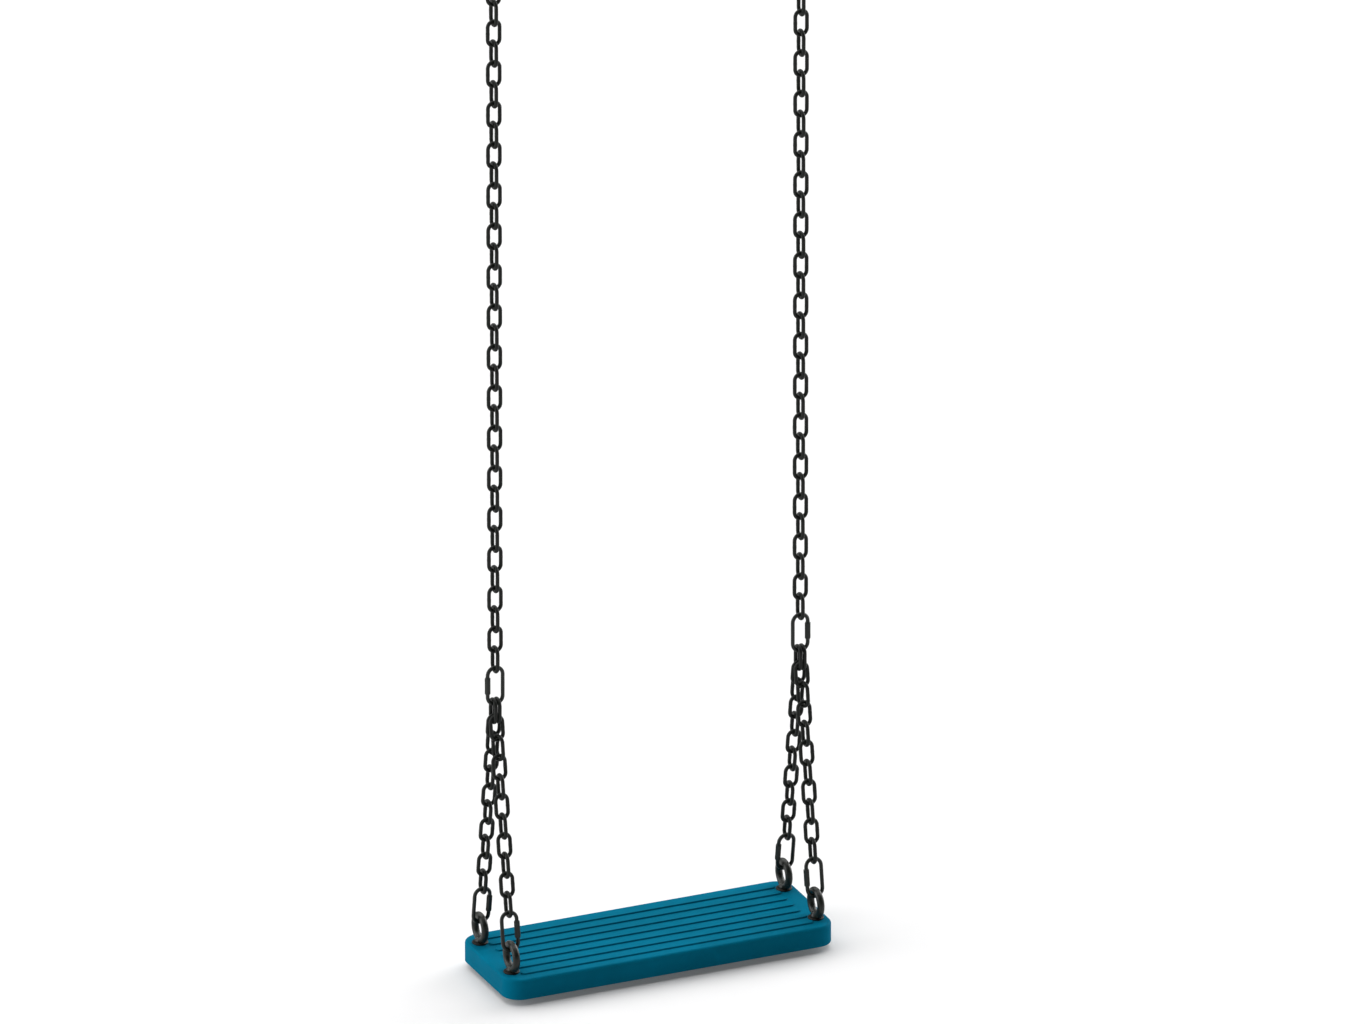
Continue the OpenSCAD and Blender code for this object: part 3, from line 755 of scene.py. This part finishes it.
chain_finish, tree, shader, where = new_finish("blackened chain steel")
cloud = grain(tree, where, 16, 3, 0.6)
specks = grain(tree, where, 1.8, 5, 0.7)
per_link = put(tree, "ShaderNodeAttribute", attribute_name="tone").outputs["Fac"]
worn_there = put(tree, "ShaderNodeAttribute", attribute_name="wear").outputs["Fac"]
tone = tint(tree, ramp(tree, cloud, 0.35, 0.65), (0.0018, 0.0028, 0.0021), (0.0046, 0.0064, 0.0047))
tone = tint(tree, sums(tree, "MULTIPLY", per_link, 0.5), tone, (0.0065, 0.0080, 0.0060))
tone = tint(tree, ramp(tree, specks, 0.60, 0.75, 0.0, 0.45), tone, (0.030, 0.029, 0.018))
rubbed = ramp(tree, sums(tree, "ADD", worn_there, sums(tree, "MULTIPLY", specks, 0.6)), 0.85, 1.35)
tone = tint(tree, sums(tree, "MULTIPLY", rubbed, 0.75), tone, (0.13, 0.13, 0.115))
satin = sums(tree, "ADD", ramp(tree, cloud, 0.3, 0.7, 0.42, 0.54), ramp(tree, specks, 0.5, 0.8, 0.0, 0.14))
satin = sums(tree, "SUBTRACT", satin, sums(tree, "MULTIPLY", rubbed, 0.10))
wire_up(tree, shader, tone, satin, specks, 0.06, 0.5)
shader.inputs["Specular IOR Level"].default_value = 0.22


def run_of_links(name, **sizes):
    """One straight run of links as a plain mesh."""
    piece = new_piece(name, bpy.data.meshes.new(name))
    run_tree(piece, link_tree, {
        "Wire radius": WIRE_R, "Outer width": LINK_WIDTH, "Twisted link": -1, "Twist": 0.0,
        "First turn": 0.0, "Play": math.radians(1.2), "Weld": 0.05, "Lean": 0.0,
        "Material": chain_finish, **{key.replace("_", " "): value for key, value in sizes.items()}
    })
    return plain_mesh(piece)


def joined(name, pieces):
    """Makes one piece of several and removes them."""
    shape = bmesh.new()
    finish = pieces[0].data.materials[0]
    for piece in pieces:
        shape.from_mesh(piece.data)
        bpy.data.objects.remove(piece)
    mesh = bpy.data.meshes.new(name)
    shape.to_mesh(mesh)
    shape.free()
    mesh.materials.append(finish)
    return new_piece(name, mesh)


for side, i in SIDES.items():
    node_low, node_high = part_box(f"main_chain_{side}")
    bottom = node_low.z + MAIN_INNER / 2 + 2 * WIRE_R
    piece = run_of_links(
        f"long_chain_{side}", Count=MAIN_COUNT, Inner_length=MAIN_INNER, Pitch=MAIN_INNER - LINK_REST_GAP,
        First_turn=math.pi / 2, Start=((node_low.x + node_high.x) / 2, 0, bottom), Seed=5 + i
    )
    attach(piece, f"chain_{side}")
    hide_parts(f"main_chain_{side}")

LEG_PITCH = LEG_INNER - LINK_REST_GAP
LEG_TOP_Y = WIRE_R + LINK_REST_GAP
QUICK_PITCH = QUICK_LENGTH - 2 * WIRE_R
QUICK_IN_RING = RING_R - RING_SECTION_R - WIRE_R - LINK_REST_GAP
LEG_LENGTH = LEG_COUNT * LEG_PITCH + QUICK_PITCH + QUICK_IN_RING
LEAN = math.asin((EYE_Y - LEG_TOP_Y) / LEG_LENGTH)
LEG_TOP_Z = seat_top + RING_HEIGHT + LEG_LENGTH * math.cos(LEAN)
for (end, side), spot in EYE_SPOTS.items():
    i, j = SIDES[side], ENDS[end]
    node_low, node_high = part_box(f"leg_{end}_{side}")
    first = run_of_links(
        "first_link", Count=1, Inner_length=LEG_INNER, Pitch=LEG_PITCH, First_turn=math.pi / 2, Play=0.0,
        Weld=0.0, Seed=40 + i + 2 * j,
        Start=(i * (abs(spot.x) + j * TWIN_X), 0, node_high.z - LEG_INNER / 2 - 2 * WIRE_R)
    )
    drop = LEG_INNER / 2 + WIRE_R
    others = run_of_links(
        "other_links", Count=LEG_COUNT, Inner_length=LEG_INNER, Pitch=-LEG_PITCH, Twisted_link=1,
        Twist=THIRD_LINK_TWIST, Lean=j * LEAN, Seed=60 + i + 2 * j,
        Start=(spot.x, j * (LEG_TOP_Y + drop * math.sin(LEAN)), LEG_TOP_Z - drop * math.cos(LEAN))
    )
    piece = joined(f"leg_chain_{end}_{side}", [first, others])
    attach(piece, "seat")
    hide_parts(f"leg_{end}_{side}")


# ---- Quick links and their sleeves -----------------------------------------
# Long links bent from the same wire, open on one side. The two ends of the
# gap are threaded, and a six-sided sleeve runs along them and closes the link.

QUICK_BEND_R = 10.25 * MM
GATE_GAP = 6 * MM
SLEEVE_LIFT = 1 * MM
SLEEVE_LENGTH = 22 * MM
SLEEVE_FLATS = 8 * MM * math.cos(math.pi / 6)
SLEEVE_BORE_R = 2.55 * MM
GATE_THREAD_PITCH = 0.9 * MM

link_finish, tree, shader, where = new_finish("dark link steel")
cloud = grain(tree, where, 20, 3, 0.55)
specks = grain(tree, where, 2.2, 5, 0.7)
tone = tint(tree, ramp(tree, cloud, 0.35, 0.65), (0.0036, 0.0054, 0.0040), (0.0080, 0.0108, 0.0082))
tone = tint(tree, ramp(tree, specks, 0.58, 0.74, 0.0, 0.5), tone, (0.034, 0.034, 0.024))
satin = sums(tree, "ADD", ramp(tree, cloud, 0.3, 0.7, 0.36, 0.48), ramp(tree, specks, 0.5, 0.8, 0.0, 0.15))
wire_up(tree, shader, tone, satin, specks, 0.08, 0.6)
shader.inputs["Specular IOR Level"].default_value = 0.32


def quick_body(gate):
    """The bent wire, with its gap on the side that gate gives, and both ends threaded under the sleeve."""
    half = QUICK_LENGTH / 2 - WIRE_R - QUICK_BEND_R
    sleeve_top = SLEEVE_LIFT + SLEEVE_LENGTH / 2
    sleeve_bottom = SLEEVE_LIFT - SLEEVE_LENGTH / 2
    fine_step = GATE_THREAD_PITCH / 4

    def limb(start, end):
        """Heights from the gap along one threaded end, the tip first."""
        toward = 1 if end > start else -1
        count = int(abs(end - start) / fine_step)
        for k in range(count + 1):
            z = start + toward * k * fine_step
            groove = abs(2 * ((k / 4) % 1) - 1) * 0.3 * MM if k < count else 0
            yield Vector((gate * QUICK_BEND_R, 0, z)), WIRE_R - (0.45 * MM if k == 0 else groove)

    lower = list(limb(SLEEVE_LIFT - GATE_GAP / 2, sleeve_bottom + 0.5 * MM))
    upper = list(limb(SLEEVE_LIFT + GATE_GAP / 2, sleeve_top - 0.5 * MM))[::-1]
    turn = (0, -180) if gate > 0 else (180, 360)
    bends = arc(Vector((0, 0, -half)), QUICK_BEND_R, *turn, 18)
    bends += [Vector((-gate * QUICK_BEND_R, 0, half * k / 3)) for k in (-2, -1, 0, 1, 2)]
    turn = (180, 0) if gate > 0 else (0, 180)
    bends += arc(Vector((0, 0, half)), QUICK_BEND_R, *turn, 18)
    path = [p for p, _ in lower] + bends + [p for p, _ in upper]
    radii = [r for _, r in lower] + [WIRE_R] * len(bends) + [r for _, r in upper]
    shape = bmesh.new()
    swept(shape, path, radii, Vector((0, 1, 0)), 18, False)
    return shape


def dress_quick_link(prefix, suffix, gate, at, link_body, sleeve_body):
    """Makes one quick link and its sleeve in the place that at gives, each on its own body."""
    shape = quick_body(gate)
    shape.transform(at)
    piece = to_piece(shape, f"bent_{prefix}_link_{suffix}", link_finish)
    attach(piece, link_body)
    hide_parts(f"{prefix}_link_{suffix}")
    shape = bmesh.new()
    spot = Matrix.Translation((gate * QUICK_BEND_R, 0, SLEEVE_LIFT - SLEEVE_LENGTH / 2))
    turned(shape, hex_outline(SLEEVE_FLATS, SLEEVE_LENGTH, SLEEVE_BORE_R, 50, 0.93), 36, at @ spot)
    piece = to_piece(shape, f"hex_{prefix}_sleeve_{suffix}", link_finish, 25)
    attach(piece, sleeve_body)
    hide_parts(f"{prefix}_sleeve_{suffix}")


for side, i in SIDES.items():
    for prefix, body in (("top", f"chain_{side}"), ("junction", f"junction_{side}")):
        node_low, node_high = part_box(f"{prefix}_link_{side}")
        at = Matrix.Translation((node_low + node_high) / 2)
        dress_quick_link(prefix, side, i, at, body, f"{prefix}_sleeve_{side}")
    for end, j in ENDS.items():
        node_low, node_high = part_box(f"lower_link_{end}_{side}")
        at = Matrix.Translation((node_low + node_high) / 2) @ Matrix.Rotation(j * LEAN, 4, "X")
        dress_quick_link("lower", f"{end}_{side}", -i, at, "seat", f"lower_sleeve_{end}_{side}")


# ---- Pendulums and bushes --------------------------------------------------
# The top quick link hangs in the ring of a forged pendulum. Its barrel swings
# on the pivot bolt and carries a flanged bronze bush in each end.

BARREL_R = 14 * MM
BARREL_HALF = 12 * MM
BARREL_BORE_R = 8 * MM
ARM_TOP_R = 7 * MM
ARM_BOTTOM_R = 4.5 * MM
PENDULUM_LENGTH = 60 * MM
PIVOT_DROP = 40 * MM
BUSH_BORE_R = 6.05 * MM
BUSH_LENGTH = 11 * MM
FLANGE_R = 11 * MM
FLANGE_THICKNESS = 1.5 * MM
CROSSWISE = Matrix.Rotation(math.pi / 2, 4, "Y")

bronze, tree, shader, where = new_finish("bronze bush")
cloud = grain(tree, where, 6, 4, 0.6)
squeezed = put(tree, "ShaderNodeMapping", {"Vector": where, "Scale": (6, 1, 1)}).outputs[0]
turning = grain(tree, squeezed, 1.2, 2)
tone = tint(tree, ramp(tree, cloud, 0.35, 0.7), (0.46, 0.30, 0.13), (0.32, 0.19, 0.085))
wire_up(tree, shader, tone, ramp(tree, cloud, 0.3, 0.7, 0.26, 0.42), turning, 0.02, 0.5)
shader.inputs["Metallic"].default_value = 1.0

shape = bmesh.new()
ring_in_yz(shape, Vector((0, 0, -PENDULUM_LENGTH)))
turned(shape, [(0, -15 * MM), (BARREL_R, -15 * MM), (BARREL_R, 15 * MM), (0, 15 * MM)], 64, CROSSWISE)
neck = RING_R - PENDULUM_LENGTH
turned(shape, [
    (0, 0), (ARM_TOP_R + 3 * MM, -8 * MM), (ARM_TOP_R + 0.6 * MM, -16 * MM), (5.9 * MM, neck * 0.62),
    (ARM_BOTTOM_R + 0.2 * MM, neck * 0.88), (ARM_BOTTOM_R + 1.5 * MM, neck), (ARM_BOTTOM_R, neck - 3 * MM),
    (0, neck - 3 * MM)
], 40)
pendulum = forged(shape, "pendulum_pattern", 0.55 * MM)
shape = bmesh.new()
for flip in (1, -1):
    turned(shape, [
        (0, flip * BARREL_HALF), (BARREL_R - 1 * MM, flip * BARREL_HALF),
        (BARREL_R + 3 * MM, flip * (BARREL_HALF - 4 * MM)), (BARREL_R + 3 * MM, flip * 20 * MM),
        (0, flip * 20 * MM)
    ], 64, CROSSWISE)
cut(pendulum, to_piece(shape, "face_cutter", forged_finish))
shape = bmesh.new()
turned(shape, [
    (0, -25 * MM), (BARREL_BORE_R, -25 * MM), (BARREL_BORE_R, 25 * MM), (0, 25 * MM)
], 64, CROSSWISE)
cut(pendulum, to_piece(shape, "bore_cutter", forged_finish))
shape = bmesh.new()
shape.from_mesh(pendulum.data)
pendulum_mesh = to_piece(shape, "pendulum_pattern_2", forged_finish, 38).data

for side, i in SIDES.items():
    pivot = Matrix.Translation((i * EYE_X, 0, -PIVOT_DROP))
    mesh = pendulum_mesh.copy()
    mesh.transform(pivot)
    piece = new_piece(f"forged_pendulum_{side}", mesh)
    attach(piece, f"pendulum_{side}")
    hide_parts(f"pendulum_{side}")
    shape = bmesh.new()
    for flip in (1, -1):
        turned(shape, [(r, flip * z) for r, z in (
            (BUSH_BORE_R, BARREL_HALF - BUSH_LENGTH), (BARREL_BORE_R, BARREL_HALF - BUSH_LENGTH),
            (BARREL_BORE_R, BARREL_HALF), (FLANGE_R, BARREL_HALF),
            (FLANGE_R, BARREL_HALF + FLANGE_THICKNESS - 0.3 * MM),
            (FLANGE_R - 0.3 * MM, BARREL_HALF + FLANGE_THICKNESS),
            (BUSH_BORE_R + 0.4 * MM, BARREL_HALF + FLANGE_THICKNESS),
            (BUSH_BORE_R, BARREL_HALF + FLANGE_THICKNESS - 0.4 * MM),
        )], 64, pivot @ CROSSWISE)
    piece = to_piece(shape, f"flanged_bushes_{side}", bronze, 25)
    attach(piece, f"pendulum_{side}")
    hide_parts(f"bushes_{side}")
bpy.data.objects.remove(bpy.data.objects["pendulum_pattern_2"])
bpy.data.objects.remove(pendulum)


# ---- Brackets --------------------------------------------------------------
# A welded bracket bolts up under the beam at each end: a plate with two holes
# and two cheeks for the pivot, all 6 mm steel, galvanised after welding.

PLATE_X = 52 * MM
PLATE_Y = 110 * MM
PLATE_T = 6 * MM
PLATE_CORNER_R = 8 * MM
BEAM_HOLE_R = 5.5 * MM
BEAM_HOLE_Y = 40 * MM
FLANGE_GAP = 0.3 * MM
CHEEK_INNER_X = BARREL_HALF + FLANGE_THICKNESS + FLANGE_GAP
CHEEK_HALF_WIDTH = 18 * MM
CHEEK_HOLE_R = 6.2 * MM
BEAD_R = 2.1 * MM

galvanised, tree, shader, where = new_finish("galvanised bracket steel")
spangle = put(tree, "ShaderNodeTexVoronoi", {"Vector": where, "Scale": 150.0, "Randomness": 1.0})
flake = put(tree, "ShaderNodeSeparateColor", {0: spangle.outputs["Color"]}).outputs[0]
cloud = grain(tree, where, 24, 4, 0.6)
tone = tint(tree, flake, (0.165, 0.173, 0.181), (0.235, 0.244, 0.253))
tone = tint(tree, ramp(tree, cloud, 0.48, 0.72, 0.0, 0.6), tone, (0.14, 0.144, 0.144))
satin = ramp(tree, flake, 0, 1, 0.42, 0.54, "LINEAR")
satin = sums(tree, "ADD", satin, ramp(tree, cloud, 0.4, 0.7, 0.0, 0.12))
wire_up(tree, shader, tone, satin, grain(tree, where, 1.5, 4, 0.6), 0.06, 0.5)
shader.inputs["Metallic"].default_value = 0.85


def rounded(half_x, half_y, r, steps=8):
    """The outline of a plate with round corners."""
    points = []
    for k, (sx, sy) in enumerate(((1, 1), (-1, 1), (-1, -1), (1, -1))):
        for n in range(steps + 1):
            a = math.radians(90 * (k + n / steps))
            points.append((sx * (half_x - r) + r * math.cos(a), sy * (half_y - r) + r * math.sin(a)))
    return points


def circle_at(x, y, r, steps=48):
    """The outline of a round hole."""
    turns = [2 * math.pi * n / steps for n in range(steps)]
    return [(x + r * math.cos(a), y + r * math.sin(a)) for a in turns]


def flat_part(outlines, thickness, edge):
    """A flat-cut plate in XY, centred on its thickness, with broken edges and holes, as a mesh."""
    curve = bpy.data.curves.new("flat_part", "CURVE")
    curve.dimensions = "2D"
    curve.fill_mode = "BOTH"
    curve.extrude = thickness / 2 - edge
    curve.bevel_depth = edge
    curve.offset = -edge
    curve.bevel_resolution = 1
    for points in outlines:
        spline = curve.splines.new("POLY")
        spline.points.add(len(points) - 1)
        spline.points.foreach_set("co", [c for x, y in points for c in (x, y, 0, 1)])
        spline.use_cyclic_u = True
    holder = bpy.data.objects.new("flat_part", curve)
    bpy.context.scene.collection.objects.link(holder)
    layers = bpy.context.evaluated_depsgraph_get()
    mesh = bpy.data.meshes.new_from_object(holder.evaluated_get(layers), depsgraph=layers)
    bpy.data.objects.remove(holder)
    bpy.data.curves.remove(curve)
    return mesh


bead_tree, size_in, out = new_tree("weld beads", {
    "Width": NUMBER, "Length": NUMBER, "Spacing": NUMBER, "Bead radius": NUMBER, "Seed": WHOLE,
    "Material": "NodeSocketMaterial",
})
loop = put(bead_tree, "GeometryNodeCurvePrimitiveQuadrilateral", {0: size_in["Width"], 1: size_in["Length"]})
stations = put(bead_tree, "GeometryNodeResampleCurve", {
    "Curve": loop.outputs[0], "Length": size_in["Spacing"],
}, mode="LENGTH")
bead = put(bead_tree, "GeometryNodeMeshUVSphere", {
    "Segments": 14, "Rings": 9, "Radius": size_in["Bead radius"],
})
number = put(bead_tree, "GeometryNodeInputIndex").outputs[0]
size = put(bead_tree, "FunctionNodeRandomValue", {
    2: 0.9, 3: 1.08, "ID": number, "Seed": size_in["Seed"],
}, data_type="FLOAT")
beads = put(bead_tree, "GeometryNodeInstanceOnPoints", {
    "Points": stations.outputs[0], "Instance": bead.outputs[0], "Scale": size.outputs[1],
})
kept = put(bead_tree, "GeometryNodeRealizeInstances", {0: beads.outputs[0]})
smoothed = put(bead_tree, "GeometryNodeSetShadeSmooth", {"Geometry": kept.outputs[0]})
dressed = put(bead_tree, "GeometryNodeSetMaterial", {
    "Geometry": smoothed.outputs[0], "Material": size_in["Material"],
})
bead_tree.links.new(dressed.outputs[0], out.inputs[0])

for side, i in SIDES.items():
    place_at = Matrix.Translation((i * EYE_X, 0, 0))
    plate = flat_part([
        rounded(PLATE_X / 2, PLATE_Y / 2, PLATE_CORNER_R),
        circle_at(0, BEAM_HOLE_Y, BEAM_HOLE_R), circle_at(0, -BEAM_HOLE_Y, BEAM_HOLE_R)
    ], PLATE_T, 0.5 * MM)
    plate.transform(place_at @ Matrix.Translation((0, 0, -PLATE_T / 2)))
    shape = bmesh.new()
    shape.from_mesh(plate)
    round_end = [(k / 32 - 1) * math.pi for k in range(33)]
    cheek_outline = [(-CHEEK_HALF_WIDTH, -PLATE_T / 2)]
    cheek_outline += [
        (CHEEK_HALF_WIDTH * math.cos(a), CHEEK_HALF_WIDTH * math.sin(a) - PIVOT_DROP) for a in round_end
    ]
    cheek_outline += [(CHEEK_HALF_WIDTH, -PLATE_T / 2)]
    for k, s in enumerate((-1, 1)):
        cheek = flat_part([cheek_outline, circle_at(0, -PIVOT_DROP, CHEEK_HOLE_R)], PLATE_T, 0.5 * MM)
        middle = s * (CHEEK_INNER_X + PLATE_T / 2)
        stand = Matrix.Rotation(math.pi / 2, 4, "Z") @ Matrix.Rotation(math.pi / 2, 4, "X")
        cheek.transform(place_at @ Matrix.Translation((middle, 0, 0)) @ stand)
        shape.from_mesh(cheek)
        weld = new_piece("weld", bpy.data.meshes.new("weld"))
        run_tree(weld, bead_tree, {
            "Width": PLATE_T + 0.6 * MM, "Length": 2 * CHEEK_HALF_WIDTH + 0.6 * MM, "Spacing": 1.7 * MM,
            "Bead radius": BEAD_R, "Seed": 11 + k + i, "Material": galvanised,
        })
        plain_mesh(weld)
        weld.data.transform(place_at @ Matrix.Translation((middle, 0, -PLATE_T - 0.2 * MM)))
        shape.from_mesh(weld.data)
        bpy.data.objects.remove(weld)
    bmesh.ops.remove_doubles(shape, verts=shape.verts, dist=1e-7)
    piece = to_piece(shape, f"welded_bracket_{side}", galvanised, 30)
    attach(piece, "hangers")
    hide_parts(f"bracket_{side}")


# ---- Pivot bolts -----------------------------------------------------------
# A 12 mm bolt passes through both cheeks and the bushes, its head on the
# outer side, with a washer and a domed lock nut on the inner side.

PIVOT_R = 6 * MM
HEAD_FLATS = 18 * MM
HEAD_HEIGHT = 7.5 * MM
PIVOT_WASHER_R = 12 * MM
PIVOT_WASHER_T = 2.5 * MM
PIVOT_NUT_HEIGHT = 12 * MM
NUT_CROWN_HEIGHT = 3 * MM
PIVOT_PAST_NUT = 2 * MM
PIVOT_PITCH = 1.75 * MM
CHEEK_OUTER_X = CHEEK_INNER_X + PLATE_T

washers, nuts = bmesh.new(), bmesh.new()
for side, i in SIDES.items():
    outwards = Matrix.Translation((i * EYE_X, 0, -PIVOT_DROP)) @ Matrix.Rotation(i * math.pi / 2, 4, "Y")
    shape = bmesh.new()
    turned(shape, hex_outline(HEAD_FLATS, HEAD_HEIGHT, 0, 28, 0.94, CHEEK_OUTER_X), 48, outwards)
    tip = -(CHEEK_OUTER_X + PIVOT_WASHER_T + PIVOT_NUT_HEIGHT + PIVOT_PAST_NUT)
    threaded(
        shape, PIVOT_R - THREAD_PLAY, tip, CHEEK_OUTER_X + 0.5 * MM, tip - PIVOT_PITCH,
        -CHEEK_OUTER_X + 1 * MM, PIVOT_PITCH, outwards, 32
    )
    piece = to_piece(shape, f"threaded_pivot_{side}", zinc, 25)
    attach(piece, "hangers")
    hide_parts(f"pivot_bolt_{side}")
    washer_low = -CHEEK_OUTER_X - PIVOT_WASHER_T
    turned(washers, ring_outline(
        PIVOT_WASHER_R, PIVOT_WASHER_T, CHEEK_HOLE_R, 0.3 * MM, washer_low
    ), 48, outwards)
    nut_low = washer_low - PIVOT_NUT_HEIGHT
    reach = hexed(HEAD_FLATS)
    crown_r = (HEAD_FLATS - 1 * MM) / 2
    turned(nuts, [
        (PIVOT_R, nut_low + 0.6 * MM), (PIVOT_R + 0.8 * MM, nut_low), (crown_r - 1.6 * MM, nut_low),
        (crown_r - 0.4 * MM, nut_low + 0.8 * MM), (crown_r, nut_low + 1.9 * MM),
        (crown_r, nut_low + NUT_CROWN_HEIGHT),
        (reach, lambda a: nut_low + NUT_CROWN_HEIGHT + (reach(a) - crown_r) * 0.55),
        (reach, lambda a: washer_low - (reach(a) - crown_r) * 0.45), (crown_r, washer_low),
        (PIVOT_R + 0.5 * MM, washer_low), (PIVOT_R, washer_low - 0.5 * MM)
    ], 48, outwards)
for shape, name, node in ((washers, "cheek_washers", "pivot_washers"), (nuts, "domed_nuts", "pivot_nuts")):
    piece = to_piece(shape, name, zinc, 25)
    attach(piece, "hangers")
    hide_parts(node)


# ---- Floor and light -------------------------------------------------------
# A pale studio floor just under the seat. Broad soft light comes from
# overhead and from both ends, and the surround is bright only at eye level.

FLOOR_GAP = 8.5 * MM
FLOOR_REACH = 30

level = seat_low.z - FLOOR_GAP
corners = [(x * FLOOR_REACH, y * FLOOR_REACH, level) for x, y in ((-1, -1), (1, -1), (1, 1), (-1, 1))]
floor_mesh = bpy.data.meshes.new("studio_floor")
floor_mesh.from_pydata(corners, [], [(0, 1, 2, 3)])
studio_floor = new_piece("studio_floor", floor_mesh)
pale, tree, shader, where = new_finish("pale floor")
wire_up(
    tree, shader, tint(tree, grain(tree, where, 400), (0.60, 0.60, 0.605), (0.62, 0.62, 0.62)),
    ramp(tree, grain(tree, where, 30), 0, 1, 0.85, 0.95), grain(tree, where, 5), 0.01
)
shader.inputs["Specular IOR Level"].default_value = 0.0
shader.inputs["Emission Color"].default_value = (1, 0.985, 0.97, 1)
shader.inputs["Emission Strength"].default_value = 0.10
floor_mesh.materials.append(pale)

surround = bpy.data.worlds.new("studio surround")
surround.use_nodes = True
tree = surround.node_tree
tree.nodes.clear()
direction = put(tree, "ShaderNodeTexCoord").outputs["Generated"]
height = put(tree, "ShaderNodeSeparateXYZ", {0: direction}).outputs[2]
sky = put(tree, "ShaderNodeBackground", {
    0: tint(tree, ramp(tree, height, 0.03, 0.13), (0.7, 0.7, 0.7), (0.05, 0.05, 0.05)), 1: 1.0,
})
put(tree, "ShaderNodeOutputWorld", {0: sky.outputs[0]})
bpy.context.scene.world = surround


def soft_light(name, direction, spread, power):
    """A wide, even light from one direction; spread is its width across the sky in degrees."""
    data = bpy.data.lights.new(name, "SUN")
    data.angle = math.radians(spread)
    data.energy = power
    lamp = bpy.data.objects.new(name, data)
    bpy.context.scene.collection.objects.link(lamp)
    lamp.rotation_mode = "QUATERNION"
    lamp.rotation_quaternion = Vector(direction).to_track_quat("Z", "Y")


soft_light("overhead", (0, 0.4, 0.9), 80, 3.55)
soft_light("left", (-0.93, 0.3, 0.3), 50, 2.4)
soft_light("right", (0.93, 0.3, 0.3), 50, 2.9)
